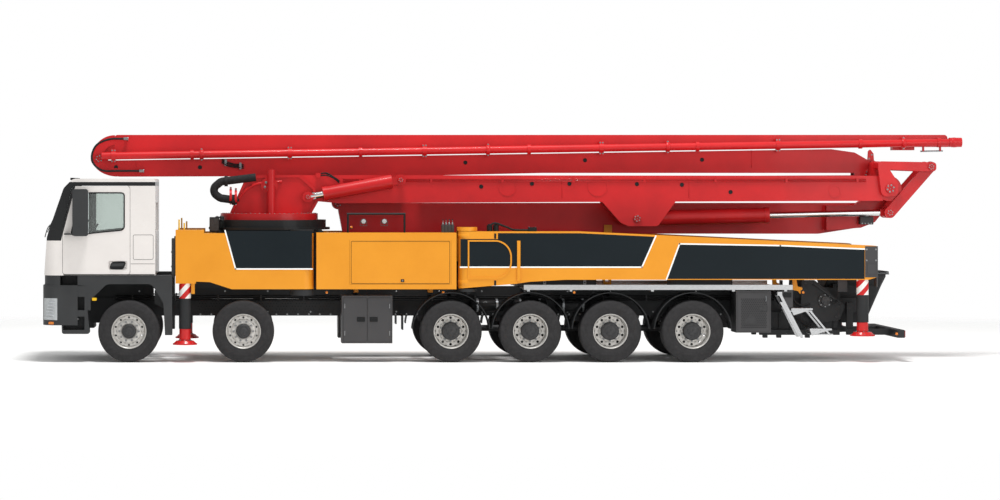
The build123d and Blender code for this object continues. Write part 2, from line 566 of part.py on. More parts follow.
LADDER_TOP = (4600, 1185)
LADDER_FOOT = (4980, 440)
steps = []
for side, sign in SIDES:
    for y in (760, 1180):
        steps.append(bar(LADDER_TOP, LADDER_FOOT, 46, sign * y, sign * (y + 26)))
    for x0, x1, z in ((4745, 5160, 889), (5140, 5520, 490)):
        steps.append(box(x0, x1, sign * 760, sign * 1206, z - 16, z))
    steps.append(box(4560, 4640, sign * (SUB_HALF + PIN_GAP), sign * 1206, 1150, 1215))
    for y in (760, 1180):
        steps.append(bar((5130, 880), (5460, 480), 30, sign * y, sign * (y + 26)))
save("deck_and_ladders", [fuse([p for p in group if p.center().Y * s > 0]) for group in (deck_parts, steps) for s in (-1, 1)])

# ---- rear: pump, hopper, underrun bar ----
HOPPER_X = 6060           # centre of the hopper
HOPPER_LEN = 1000
HOPPER_HALF = 660
HOPPER_TOP = 1520
HOPPER_MID = 1290         # where the funnel starts, above the frame rails
HOPPER_LOW = 640
HOPPER_WALL = 12


def hopper_body(inset):
    """Straight collar over a funnel that drops between the frame rails."""
    low = Plane.XY.offset(HOPPER_LOW) * Pos(HOPPER_X, 0) * RectangleRounded(460 - 2 * inset, 480 - 2 * inset, 60)
    mid = Plane.XY.offset(HOPPER_MID) * Pos(HOPPER_X, 0) * RectangleRounded(HOPPER_LEN - 2 * inset, 600 - 2 * inset, 60)
    funnel = loft([Face(low.face().wrapped), Face(mid.face().wrapped)], ruled=True)
    flare = Plane.XY.offset(HOPPER_TOP - 60) * Pos(HOPPER_X, 0) * RectangleRounded(HOPPER_LEN - 2 * inset, 2 * HOPPER_HALF - 2 * inset, 60)
    spread = loft([Face(mid.face().wrapped), Face(flare.face().wrapped)], ruled=True)
    collar = Pos(HOPPER_X, 0, HOPPER_TOP - 30) * extrude(RectangleRounded(HOPPER_LEN - 2 * inset, 2 * HOPPER_HALF - 2 * inset, 60), 30, both=True)
    return funnel + spread + collar


inside = hopper_body(HOPPER_WALL) & box(5000, 7000, -900, 900, HOPPER_LOW + 14, HOPPER_TOP - 0.5)
top_cut = Pos(HOPPER_X, 0, HOPPER_TOP) * Box(HOPPER_LEN - 24, 2 * HOPPER_HALF - 24, 60)
hopper = hopper_body(0) - inside - top_cut
lip = Pos(HOPPER_X, 0, HOPPER_TOP - 10) * (Box(HOPPER_LEN + 80, 2 * HOPPER_HALF + 80, 20) - Box(HOPPER_LEN - 24, 2 * HOPPER_HALF - 24, 30))
ears = []
for side, sign in SIDES:
    ears.append(box(FRAME_REAR - 620, FRAME_REAR - 560, sign * 250, sign * (RAIL_HALF + 20), SUB_Z1 + PIN_GAP, 1330))
GRATE_X = HOPPER_LEN / 2 + 20
GRATE_Y = HOPPER_HALF + 20
GRATE_HINGE_X = 5950      # the rear part opens under the folded boom, the front part is fixed
GRATE_T = 28
GRATE_FRAME = 40


def grate(x0, x1, z0):
    """Frame with nine bars along the truck."""
    bars = [box(x0, x1, -568 + 140 * k, -552 + 140 * k, z0, z0 + GRATE_T) for k in range(9)]
    bars += [box(x, x + GRATE_FRAME, -GRATE_Y, GRATE_Y, z0, z0 + GRATE_T) for x in (x0, x1 - GRATE_FRAME)]
    bars += [box(x0, x1, y, y + GRATE_FRAME, z0, z0 + GRATE_T) for y in (-GRATE_Y, GRATE_Y - GRATE_FRAME)]
    return bars


fixed_grate = grate(HOPPER_X - GRATE_X, GRATE_HINGE_X - GRATE_T, HOPPER_TOP - 1)
save("hopper", [fuse([hopper, lip] + ears + fixed_grate)])
save("hopper_grate", [fuse(grate(GRATE_HINGE_X, HOPPER_X + GRATE_X, HOPPER_TOP + PIN_GAP))])

PUMP_R = 125
pump_parts = []
for y in (-150, 150):
    pump_parts.append(rod("x", (3350, y, 905), PUMP_R, 3600))
pump_parts.append(box(5100, 5560, -310, 310, 760, 1240))
pump_parts.append(box(3300, 3720, -310, 310, 770, 1060))
pump_parts.append(rod("x", (2100, 0, 905), 90, 1200))
pump = fuse(pump_parts)
save("pump_unit", [pump])

TANK_HALF = 640
TANK_Z0 = 1270 + PIN_GAP
tank = slab([(200, TANK_Z0), (200, 1980, 120), (1500, 1980, 120), (1500, TANK_Z0)], -TANK_HALF, TANK_HALF)
cooler = slab([(2900, TANK_Z0), (2900, 1800, 60), (3900, 1800, 60), (3900, TANK_Z0)], -500, 500)
save("deck_tanks", [tank, cooler])

UNDERRUN_X = 6640
under = [box(UNDERRUN_X, UNDERRUN_X + 118, -1190, 1190, 420, 556)]
for side, sign in SIDES:
    under.append(box(5900, UNDERRUN_X + 10, sign * 470, sign * 560, 440, 540))
    under.append(box(5900, 6010, sign * (RAIL_HALF + PIN_GAP), sign * 520, 440, 1000))
save("underrun_bar", [fuse(under)])
REAR_LAMP_W = 260
save("lamps", lamps + [box(UNDERRUN_X + 118 + PIN_GAP, UNDERRUN_X + 138, sign * 900, sign * (900 + REAR_LAMP_W), 430, 546)
                    for side, sign in SIDES])

# ---- boom: pins, lanes and layers ----
J1 = (-4200, 3050)        # arm 1 on the turret
J12 = (6710, 3000)
J23 = (-2965, 2735)
J34 = (6500, 3255)
J45 = (-7230, 3530)
TIP_X = 8130
ARM1_HALF = 200           # arm 1 lies in the middle of the truck
LANE_0 = 480              # arms 2 to 5 lie beside it, over the right side
LANE_1 = 800
LUG_T = 40
LUG_R = 110
LUG_GAP = 6
PIN_R = 70
PIPE_R = 66
lane_mid = (LANE_0 + LANE_1) / 2
LUG_IN_0 = LANE_0 + LUG_T + LUG_GAP
LUG_IN_1 = LANE_1 - LUG_T - LUG_GAP


def outer_lugs(pin, radius):
    """Two lugs at the sides of the lane."""
    return [
        rod("y", (pin[0], LANE_0 + LUG_T / 2, pin[1]), radius, LUG_T),
        rod("y", (pin[0], LANE_1 - LUG_T / 2, pin[1]), radius, LUG_T),
    ]


def outer_relief(pin, radius):
    wide = LUG_T + LUG_GAP
    return [
        rod("y", (pin[0], LANE_0 + wide / 2 - 1, pin[1]), radius + CLEAR, wide + 2),
        rod("y", (pin[0], LANE_1 - wide / 2 + 1, pin[1]), radius + CLEAR, wide + 2),
    ]


def inner_lug(pin, radius, to_x, to_z):
    """Lug in the middle of the lane, with a neck into its own beam on one side of the pin."""
    lug = rod("y", (pin[0], lane_mid, pin[1]), radius, LUG_IN_1 - LUG_IN_0)
    neck = box(pin[0] + to_x * CLEAR, pin[0] + to_x * radius, LUG_IN_0, LUG_IN_1, pin[1], pin[1] + to_z * radius)
    return [lug, neck]


def inner_relief(pin, radius):
    return [rod("y", (pin[0], lane_mid, pin[1]), radius + CLEAR, LANE_1 - LANE_0 - 2 * LUG_T)]


def lane_pin(pin, radius):
    return rod("y", (pin[0], lane_mid, pin[1]), radius, LANE_1 - LANE_0)


def lane_bore(pin, radius):
    return rod("y", (pin[0], lane_mid, pin[1]), radius + PIN_GAP, LUG_IN_1 - LUG_IN_0 + 4)


# arm 1, a closed box beam with brackets for the second cylinder
CYL2_PIN = (2275, 2470)
LIFT_PIN = (-1900, 3150)
LIFT_EYE = (-3526, 2850)
arm1 = slab([
    (-4430, 2830, 100), (-4430, 3235, 120), (6600, 3222), (6600, 2782), (1645, 2762), (-3000, 2740, 400), (-3650, 2800, 200),
], -ARM1_HALF, ARM1_HALF)
arm1 = arm1 + rod("y", (J12[0], 0, J12[1]), 220, 2 * ARM1_HALF)
arm1_ears = []
for side, sign in SIDES:
    arm1_ears.append(slab([(1645, 2780), (1980, 2400, 80), (2120, 2335, 60), (2640, 2335, 80), (2960, 2780)],
                         sign * 142, sign * ARM1_HALF))
    arm1_ears.append(rod("y", (CYL2_PIN[0], sign * (ARM1_HALF + 4), CYL2_PIN[1]), 75, 20))
rings = []
for x, z, r in ((-10, 3025, 160), (1580, 3042, 180), (5750, 2955, 110)):
    rings.append(ring("y", (x, 0, z), r, r - 16, 2 * ARM1_HALF + 16))
lift_pins = rod("y", (LIFT_PIN[0], 0, LIFT_PIN[1]), 50, 2 * 460)
cyl2_pin = rod("y", (CYL2_PIN[0], 0, CYL2_PIN[1]), 45, 2 * ARM1_HALF)
pipe1 = rod("x", (1650, 300, 3060), PIPE_R, 6400)
pipe1_clamps = [box(x - 25, x + 25, ARM1_HALF - 2, 300, 3030, 3090) for x in (-1300, 800, 2900, 4700)]
arm1 = fuse([arm1] + arm1_ears + rings + [lift_pins, cyl2_pin, pipe1] + pipe1_clamps)
arm1 = arm1 - rod("y", (J12[0], 0, J12[1]), PIN_R + PIN_GAP, 600)
arm1 = arm1 - rod("y", (J1[0], 0, J1[1]), 80 + PIN_GAP, 600)
save("boom_arm_1", [arm1])

# arm 2, lower layer, with the knee that carries it on pin J12 and the horn for its cylinder
HORN_PIN = (7427, 3380)
ROD_PIN = (6720, 2573)
LINK_Y0, LINK_Y1 = 208, 246
HORN_Y0, HORN_Y1 = 254, 300
beam2 = slab([
    (J23[0] + LUG_GAP, 2740), (J23[0] + LUG_GAP, 2600), (-2880, 2195, 60), (5600, 2190, 300), (6310, 2300), (6310, 2740),
], LANE_0, LANE_1)
knee = slab([
    (5700, 2260), (6310, 2300, 60), (6560, 2400, 100), (6920, 2850, 120), (6920, 3140, 120), (6660, 3480, 60), (6500, 3480, 60),
    (6490, 2900, 200), (6200, 2700, 200), (5700, 2700),
], HORN_Y0, LANE_0 - LUG_GAP)
knee = knee & box(5000, 8000, 0, LANE_0 - LUG_GAP, 0, 4000)
knee_tie = slab([(5700, 2260), (6300, 2300), (6300, 2700), (5700, 2700)], HORN_Y0, LANE_0 + 20)
near_horn = slab([(6500, 3330, 40), (6560, 2860, 100), (6850, 2860, 100), (6850, 3100, 60), (6700, 3330), (7300, 3300), (7520, 3300, 60),
                  (7520, 3460, 60), (6500, 3478, 60)], -HORN_Y1, -HORN_Y0)
far_horn = slab([(6500, 3330, 20), (7300, 3300), (7520, 3300, 60), (7520, 3460, 60), (6500, 3478, 20)], HORN_Y0, HORN_Y1)
horn_tie = slab([(6540, 3345, 20), (7230, 3335, 20), (7230, 3455, 20), (6540, 3465, 20)], -HORN_Y0 - 5, HORN_Y0 + 5)
horn_pin = rod("y", (HORN_PIN[0], 0, HORN_PIN[1]), 45, 2 * HORN_Y1 + 20)
j12_pin = rod("y", (J12[0], 80, J12[1]), PIN_R, 2 * 390)
pipe2 = rod("x", (1800, LANE_1 + 70, 2460), PIPE_R, 8600)
pipe2_clamps = [box(x - 25, x + 25, LANE_1 - 2, LANE_1 + 70, 2430, 2490) for x in (-2200, 400, 3000, 5600)]
arm2 = fuse([beam2, knee, knee_tie, near_horn, far_horn, horn_tie, horn_pin, j12_pin, pipe2] + pipe2_clamps)
arm2 = fuse([arm2 - inner_relief(J23, LUG_R)] + outer_lugs(J23, LUG_R) + [lane_pin(J23, PIN_R - 20)])
save("boom_arm_2", [arm2])

# arm 3, middle layer
beam3 = slab([
    (J23[0] + LUG_GAP, 2780), (J23[0] + LUG_GAP, 3100), (-2700, 3198, 80), (J34[0] - LUG_GAP, 3235), (J34[0] - LUG_GAP, 2900),
    (6200, 2782, 200),
], LANE_0, LANE_1)
J34_PLATE_R = 260
pipe3 = rod("x", (1800, LANE_1 + 70, 3000), PIPE_R, 8600)
pipe3_clamps = [box(x - 25, x + 25, LANE_1 - 2, LANE_1 + 70, 2970, 3030) for x in (-2200, 400, 3000, 5600)]
arm3 = fuse([beam3, pipe3] + pipe3_clamps) - outer_relief(J23, LUG_R) - outer_relief(J34, J34_PLATE_R)
arm3 = fuse([arm3] + inner_lug(J23, LUG_R, 1, 1) + inner_lug(J34, LUG_R, -1, -1))
arm3 = arm3 - lane_bore(J23, PIN_R - 20)
arm3 = fuse([arm3, lane_pin(J34, PIN_R - 20)])
save("boom_arm_3", [arm3])

# arm 4, deep beam of the top layer
beam4 = slab([
    (J34[0] - LUG_GAP, 3275), (J34[0] - LUG_GAP, 3500), (6250, 3640, 100), (5830, 3700, 150), (-6900, 3500), (J45[0] + LUG_GAP, 3500),
    (J45[0] + LUG_GAP, 3420), (-6890, 3208, 80), (-1500, 3225), (700, 3275),
], LANE_0, LANE_1)
pipe4 = rod("x", (-300, LANE_1 + 70, 3400), PIPE_R, 12600)
pipe4_clamps = [box(x - 25, x + 25, LANE_1 - 2, LANE_1 + 70, 3370, 3430) for x in (-6000, -2500, 1000, 4500)]
beam4 = fuse([beam4, pipe4] + pipe4_clamps)
rear_plates = [p & box(6000, 7000, LANE_0, LANE_1, 2900, 4000) for p in outer_lugs(J34, J34_PLATE_R)]
arm4 = beam4 - inner_relief(J34, LUG_R) - inner_relief(J45, 150)
arm4 = fuse([arm4] + rear_plates + outer_lugs(J45, 150))
arm4 = arm4 - [rod("y", (J34[0], lane_mid, J34[1]), PIN_R - 20 + PIN_GAP, 500)] 
arm4 = fuse([arm4, lane_pin(J45, PIN_R - 20)])
save("boom_arm_4", [arm4])

# arm 5, slim beam out to the tip, with the delivery pipe on its near side
UNDER5 = ((J45[0] + LUG_GAP, 3518), (6500, 3730))
beam5 = slab([
    (UNDER5[0][0], UNDER5[0][1] + 6), (UNDER5[0][0], 3740), (-6920, 3955, 60), (7900, 3955, 60), (7950, 3740), (6500, 3738),
], LUG_IN_0 - 10, LUG_IN_1 + 10)
PIPE5_Y = LANE_0 - 84


def pipe5_z(x):
    return 3575 + (x + 7200) * 245 / 15330


run5 = strut((-7180, PIPE5_Y, pipe5_z(-7180)), (TIP_X - 190, PIPE5_Y, pipe5_z(TIP_X - 190)), PIPE_R)
TIP_BORE_R = 62.5
TIP_BORE_LEN = 180
TIP_Z = pipe5_z(TIP_X - 40)
tip_end = rod("x", (TIP_X - TIP_BORE_LEN / 2 - 20, PIPE5_Y, TIP_Z), PIPE_R + 18, TIP_BORE_LEN + 40)
tip_bore = rod("x", (TIP_X - TIP_BORE_LEN / 2 + 5, PIPE5_Y, TIP_Z), TIP_BORE_R, TIP_BORE_LEN + 10)
joints5 = [strut((x, PIPE5_Y, pipe5_z(x)), (x + 60, PIPE5_Y, pipe5_z(x + 60)), PIPE_R + 18) for x in (-5600, -2600, 400, 3400, 6300, 7700)]
clamps5 = [box(x - 30, x + 30, PIPE5_Y, LUG_IN_0, pipe5_z(x) - 20, pipe5_z(x) + 45) for x in (-6600, -3800, -1500, 1600, 4700, 7400)]
feet5 = box(6940, 7330, LUG_IN_0 + 20, LUG_IN_1 - 20, 3682, 3745)
arm5 = fuse([beam5, feet5] + inner_lug(J45, 130, 1, 1) + clamps5)
arm5 = fuse([arm5, run5] + joints5 + [tip_end]) - tip_bore
arm5 = arm5 - lane_bore(J45, PIN_R - 20) - outer_relief(J45, 150)
save("boom_arm_5", [arm5])

# ---- turret ----
TURRET_T = 42
TURRET_IN = ARM1_HALF + 8
turret_base = rod("z", (SLEW_X, 0, RING_Z + PIN_GAP + 55), 860, 110)
cheek_side = [
    (-4890, RING_Z + 60), (-4890, RING_Z + 130), (-4600, 3225, 60), (-3660, 3240, 60), (-3400, 3010, 60), (-3336, 2780, 60),
    (-3450, RING_Z + 130), (-3450, RING_Z + 60),
]
turret_parts = [turret_base]
for side, sign in SIDES:
    cheek = slab(cheek_side, sign * TURRET_IN, sign * (TURRET_IN + TURRET_T))
    rim_out = slab(cheek_side, sign * (TURRET_IN + TURRET_T - 1), sign * (TURRET_IN + TURRET_T + 26))
    inner_side = [(-4840, RING_Z + 60), (-4840, RING_Z + 140), (-4565, 3180, 40), (-3680, 3195, 40), (-3445, 2990, 40),
                  (-3385, 2790, 40), (-3500, RING_Z + 140), (-3500, RING_Z + 60)]
    rim_out = rim_out - slab(inner_side, sign * TURRET_IN, sign * (TURRET_IN + 100))
    turret_parts.append(cheek + rim_out)
    turret_parts.append(rod("y", (J1[0], sign * (TURRET_IN + 45), J1[1]), 150, 90))
    eye_y = sign * (TURRET_IN + 22)
    turret_parts.append(rod("y", (LIFT_EYE[0], eye_y, LIFT_EYE[1]), 130, 44))
turret_parts.append(rod("y", (J1[0], 0, J1[1]), 80, 2 * (TURRET_IN + 90)))
turret_parts.append(box(-4700, -3900, -TURRET_IN - 5, TURRET_IN + 5, RING_Z + 80, RING_Z + 200))
RISER = (-4170, -420)
riser = rod("z", (RISER[0], RISER[1], (RING_Z + 110 + 3330) / 2), PIPE_R, 3330 - RING_Z - 110)
riser_clamps = [box(RISER[0] - 30, RISER[0] + 30, RISER[1], -TURRET_IN - TURRET_T + 2, z - 25, z + 25) for z in (2650, 3140)]
loop = pipe([(-4440, RISER[1], 3195), (-5050, RISER[1], 3120), (-5245, RISER[1], 2960), (-5060, RISER[1], 2830), (-4760, RISER[1], 2790)],
            PIPE_R + 4, 110)
loop_clamps = [box(-4560, -4500, RISER[1], -TURRET_IN - TURRET_T + 2, 3150, 3210),
               box(-4790, -4730, RISER[1], -TURRET_IN - TURRET_T + 2, 2770, 2820)]
loop_rings = [rod("x", (-4960, RISER[1], 3128), PIPE_R + 26, 60), rod("x", (-4830, RISER[1], 2800), PIPE_R + 26, 60)]
turret = fuse(turret_parts)
save("turret", [fuse([turret, riser] + riser_clamps + [loop] + loop_clamps + loop_rings)])

# ---- cylinders ----
LIFT_Y = 335
LIFT_OD = 120
LIFT_EYE_HALF = 54
LIFT_ROD = 58
CYL2_OD = 132
CYL2_ROD = 53


def cylinder(pin, eye, y, barrel_r, rod_r, barrel_len, eye_half, eye_r, pin_r, rod_in, pin_ends):
    """Barrel with an eye on its pin, and the rod that slides out of it to an eye with a pin of its own."""
    span = math.hypot(eye[0] - pin[0], eye[1] - pin[1])
    turn = math.degrees(math.atan2(eye[1] - pin[1], eye[0] - pin[0]))
    place = Pos(pin[0], y, pin[1]) * Rot(0, -turn, 0)
    barrel = rod("x", (barrel_r + 30 + (barrel_len - 30 - barrel_r) / 2, 0, 0), barrel_r, barrel_len - 30 - barrel_r)
    neck = box(0, barrel_r + 60, -eye_half, eye_half, -0.7 * eye_r, 0.7 * eye_r)
    barrel = fuse([barrel, neck, rod("y", (0, 0, 0), eye_r, 2 * eye_half), rod("x", (barrel_len - 40, 0, 0), barrel_r + 10, 80)])
    barrel = barrel - rod("y", (0, 0, 0), pin_r + PIN_GAP, 4 * eye_half)
    bore_x0 = barrel_r + 90
    barrel = barrel - rod("x", ((bore_x0 + barrel_len + 20) / 2, 0, 0), rod_r + 1, barrel_len + 20 - bore_x0)
    shaft_x0 = barrel_len - rod_in
    shaft_bar = rod("x", ((shaft_x0 + span - 20) / 2, 0, 0), rod_r, span - 20 - shaft_x0)
    end = rod("y", (span, 0, 0), eye_r, 2 * eye_half) + box(span - eye_r - 40, span, -eye_half, eye_half, -0.6 * eye_r, 0.6 * eye_r)
    own_pin = rod("y", (span, (pin_ends[0] + pin_ends[1]) / 2 - y, 0), pin_r, pin_ends[1] - pin_ends[0])
    piston_rod = fuse([shaft_bar, end, own_pin])
    return place * barrel, place * piston_rod


lift_barrels, lift_rods = [], []
for side, sign in SIDES:
    ends = sorted((sign * (LIFT_Y - LIFT_EYE_HALF), sign * (LIFT_Y + LIFT_EYE_HALF + 14)))
    barrel, piston_rod = cylinder(LIFT_PIN, LIFT_EYE, sign * LIFT_Y, LIFT_OD, LIFT_ROD, 1380, LIFT_EYE_HALF, 95, 50, 1080, ends)
    lift_barrels.append(barrel)
    lift_rods.append(piston_rod)
save("lift_barrels", lift_barrels)
save("lift_rods", lift_rods)
ends = (-LINK_Y0 + CLEAR, LINK_Y0 - CLEAR)
barrel, piston_rod = cylinder(CYL2_PIN, ROD_PIN, 0, CYL2_OD, CYL2_ROD, 2350, 60, 95, 45, 150, ends)
save("fold_barrel", [barrel])
save("fold_rod", [piston_rod])

link_bars = []
for side, sign in SIDES:
    link_bars.append(bar(ROD_PIN, HORN_PIN, 190, sign * LINK_Y0, sign * LINK_Y1))
save("fold_link", [p - rod("y", (HORN_PIN[0], 0, HORN_PIN[1]), 45 + PIN_GAP, 900) for p in link_bars])

# ---- boom rest ----
REST_X = 1845
rest = box(REST_X - 70, REST_X + 70, LANE_0 + 60, LANE_1 - 60, 1270 + PIN_GAP, 2190 - PIN_GAP)
rest = rest - [box(REST_X - 40, REST_X + 40, LANE_0 + 50, LANE_1 - 50, 1330, 2100)]
fork = box(REST_X - 70, REST_X + 70, LANE_0 - 40, LANE_0 - CLEAR, 2080, 2350)
fork = fork + box(REST_X - 70, REST_X + 70, LANE_0 - 40, LANE_0 + 62, 2080, 2140)
save("boom_rest", [fuse([rest, fork])])
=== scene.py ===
import math

import bmesh
import bpy
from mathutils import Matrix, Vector


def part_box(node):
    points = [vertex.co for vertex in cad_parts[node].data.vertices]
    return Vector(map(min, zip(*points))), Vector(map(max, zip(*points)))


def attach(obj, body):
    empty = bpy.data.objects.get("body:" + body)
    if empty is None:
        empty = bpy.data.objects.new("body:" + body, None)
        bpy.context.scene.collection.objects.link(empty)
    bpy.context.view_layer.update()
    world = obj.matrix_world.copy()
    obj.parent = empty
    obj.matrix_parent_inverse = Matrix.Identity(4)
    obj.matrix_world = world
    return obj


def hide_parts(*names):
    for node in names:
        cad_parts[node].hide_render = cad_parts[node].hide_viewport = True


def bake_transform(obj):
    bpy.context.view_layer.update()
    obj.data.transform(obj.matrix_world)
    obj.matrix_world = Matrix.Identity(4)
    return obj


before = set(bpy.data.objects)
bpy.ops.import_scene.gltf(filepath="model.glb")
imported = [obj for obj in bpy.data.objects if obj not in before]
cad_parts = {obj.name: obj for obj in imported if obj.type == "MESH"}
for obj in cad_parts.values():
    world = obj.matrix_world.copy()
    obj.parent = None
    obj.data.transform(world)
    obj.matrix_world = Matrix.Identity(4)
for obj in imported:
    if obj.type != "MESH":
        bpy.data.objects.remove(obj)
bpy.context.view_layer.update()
sides = (("left", -1), ("right", 1))


def hexColour(code, alpha=1.0):
    # sRGB hex to the linear values that the shader wants
    parts = [int(code[i:i + 2], 16) / 255 for i in (1, 3, 5)]
    return tuple(c / 12.92 if c <= 0.04045 else ((c + 0.055) / 1.055) ** 2.4 for c in parts) + (alpha,)


def addNode(tree, kind, settings=None, links=None):
    # one node with its settings, joined to the sockets it reads
    node = tree.nodes.new(kind)
    for name, value in (settings or {}).items():
        if isinstance(name, str) and hasattr(node, name):
            setattr(node, name, value)
        else:
            node.inputs[name].default_value = value
    for name, source in (links or {}).items():
        tree.links.new(source, node.inputs[name])
    return node


def startMaterial(name, colour, roughness, metallic=0.0, ior=1.5, coat=0.0, coatRoughness=0.05, specular=0.5):
    material = bpy.data.materials.new(name)
    material.use_nodes = True
    tree = material.node_tree
    shader = tree.nodes["Principled BSDF"]
    shader.inputs["Base Color"].default_value = hexColour(colour)
    shader.inputs["Roughness"].default_value = roughness
    shader.inputs["Metallic"].default_value = metallic
    if not metallic:
        shader.inputs["IOR"].default_value = ior
    shader.inputs["Specular IOR Level"].default_value = specular
    shader.inputs["Coat Weight"].default_value = coat
    shader.inputs["Coat Roughness"].default_value = coatRoughness
    place = addNode(tree, "ShaderNodeTexCoord")
    return material, tree, shader, place.outputs["Object"]


def perMetre(millimetres):
    # noise scale whose features are about this size
    return 1000 / millimetres


def mottle(tree, shader, place, colour, darker, sizeMm, amount=1.0, stretch=(1, 1, 1)):
    # slow drift between two close tones, as dust and fading give a real surface
    spread = addNode(tree, "ShaderNodeMapping", {"Scale": stretch}, {"Vector": place})
    noise = addNode(tree, "ShaderNodeTexNoise", {"Scale": perMetre(sizeMm), "Detail": 5.0, "Roughness": 0.6},
                    {"Vector": spread.outputs[0]})
    ramp = addNode(tree, "ShaderNodeMapRange", {"From Min": 0.35, "From Max": 0.7, "To Min": 0.0, "To Max": amount},
                   {"Value": noise.outputs["Fac"]})
    mix = addNode(tree, "ShaderNodeMix", {"data_type": "RGBA", 6: hexColour(colour), 7: hexColour(darker)},
                  {0: ramp.outputs[0]})
    tree.links.new(mix.outputs[2], shader.inputs["Base Color"])


def grain(tree, shader, place, sizeMm, depthMm, strength=0.4, kind="ShaderNodeTexNoise"):
    # fine relief of the surface
    height = addNode(tree, kind, {"Scale": perMetre(sizeMm)}, {"Vector": place})
    source = height.outputs["Fac"] if "Fac" in height.outputs else height.outputs["Distance"]
    bump = addNode(tree, "ShaderNodeBump", {"Strength": strength, "Distance": depthMm / 1000}, {"Height": source})
    tree.links.new(bump.outputs[0], shader.inputs["Normal"])


def wornRoughness(tree, shader, place, low, high, sizeMm):
    noise = addNode(tree, "ShaderNodeTexNoise", {"Scale": perMetre(sizeMm), "Detail": 6.0}, {"Vector": place})
    span = addNode(tree, "ShaderNodeMapRange", {"From Min": 0.3, "From Max": 0.7, "To Min": low, "To Max": high},
                   {"Value": noise.outputs["Fac"]})
    tree.links.new(span.outputs[0], shader.inputs["Roughness"])


def sprayedEnamel(name, colour, darker, coat=0.12, roughness=(0.3, 0.42), coatRoughness=0.08, specular=0.22):
    # two-pack enamel sprayed on steel: an even colour under a soft gloss, with slight orange peel
    material, tree, shader, place = startMaterial(name, colour, roughness[0], coat=coat, coatRoughness=coatRoughness,
                                                  specular=specular)
    mottle(tree, shader, place, colour, darker, 900, 0.8)
    wornRoughness(tree, shader, place, roughness[0], roughness[1], 260)
    grain(tree, shader, place, 14, 0.25, 0.12)  # real peel is 2 mm, drawn at 14 so that it shows
    return material


boomRed = sprayedEnamel("two_pack_enamel_red_sprayed", "#CE2326", "#B41E22")
turretRed = sprayedEnamel("two_pack_enamel_deep_red_sprayed", "#C41E21", "#A31A1E")
armAmber = sprayedEnamel("two_pack_enamel_amber_sprayed", "#E39627", "#D98C20")
cabWhite = sprayedEnamel("cab_enamel_white_sprayed", "#E6E1DD", "#DDD8D4", coat=0.35, roughness=(0.22, 0.3),
                         coatRoughness=0.04)
frameGrey = sprayedEnamel("chassis_paint_graphite_sprayed", "#333435", "#28292A", coat=0.0, roughness=(0.5, 0.65),
                          specular=0.15)
ringBlack = sprayedEnamel("chassis_paint_black_sprayed", "#1C1D1E", "#141516", coat=0.1, roughness=(0.45, 0.6))
boxGrey = sprayedEnamel("powder_coat_grey_baked", "#474647", "#3E3E3F", coat=0.0, roughness=(0.45, 0.55), specular=0.2)
legRed = sprayedEnamel("leg_enamel_signal_red_sprayed", "#CF1F1F", "#B81B1C", coat=0.3)
panelNight = sprayedEnamel("vinyl_film_night_grey_laid", "#1A2125", "#171E22", coat=0.0, roughness=(0.4, 0.5),
                           specular=0.1)
filmWhite = sprayedEnamel("vinyl_film_white_laid", "#F6F6F4", "#EFEFEC", coat=0.2, roughness=(0.35, 0.42))
markYellow = sprayedEnamel("handrail_enamel_yellow_sprayed", "#E8B81C", "#D8A816", coat=0.3)


def mouldedPlastic(name, colour, darker, roughness, sizeMm):
    # moulded polypropylene: fine leather grain that breaks the light into a matt sheen
    material, tree, shader, place = startMaterial(name, colour, roughness, specular=0.22)
    mottle(tree, shader, place, colour, darker, 500, 0.7)
    wornRoughness(tree, shader, place, roughness - 0.06, roughness + 0.08, 300)
    grain(tree, shader, place, sizeMm, 0.4, 0.3, "ShaderNodeTexVoronoi")
    return material


cabPlastic = mouldedPlastic("polypropylene_dark_grey_moulded", "#3A3B3C", "#303132", 0.5, 9)
trimBlack = mouldedPlastic("abs_black_moulded", "#1A1B1C", "#141516", 0.38, 7)
guardBlack = mouldedPlastic("polyethylene_mudguard_moulded", "#2A2B2C", "#222324", 0.55, 12)
seatCloth = mouldedPlastic("seat_cloth_grey_woven", "#3E4043", "#303235", 0.9, 4)


def vulcanisedRubber(name, colour, darker):
    # tyre rubber: carbon black with road dust, so dark grey and nearly without shine
    material, tree, shader, place = startMaterial(name, colour, 0.78, ior=1.52, specular=0.35)
    mottle(tree, shader, place, colour, darker, 70, 0.9)
    wornRoughness(tree, shader, place, 0.7, 0.9, 40)
    grain(tree, shader, place, 6, 0.5, 0.35)
    return material


tyreRubber = vulcanisedRubber("tyre_rubber_vulcanised", "#2B2A2B", "#222122")
hoseRubber = vulcanisedRubber("hose_rubber_extruded", "#19191A", "#121213")


def bareMetal(name, colour, darker, roughness, sizeMm, stretch=(1, 1, 1)):
    # uncoated metal: the mill or grinding marks stretch the highlights
    material, tree, shader, place = startMaterial(name, colour, roughness[0], metallic=1.0)
    mottle(tree, shader, place, colour, darker, sizeMm, 1.0, stretch)
    wornRoughness(tree, shader, place, roughness[0], roughness[1], sizeMm)
    return material


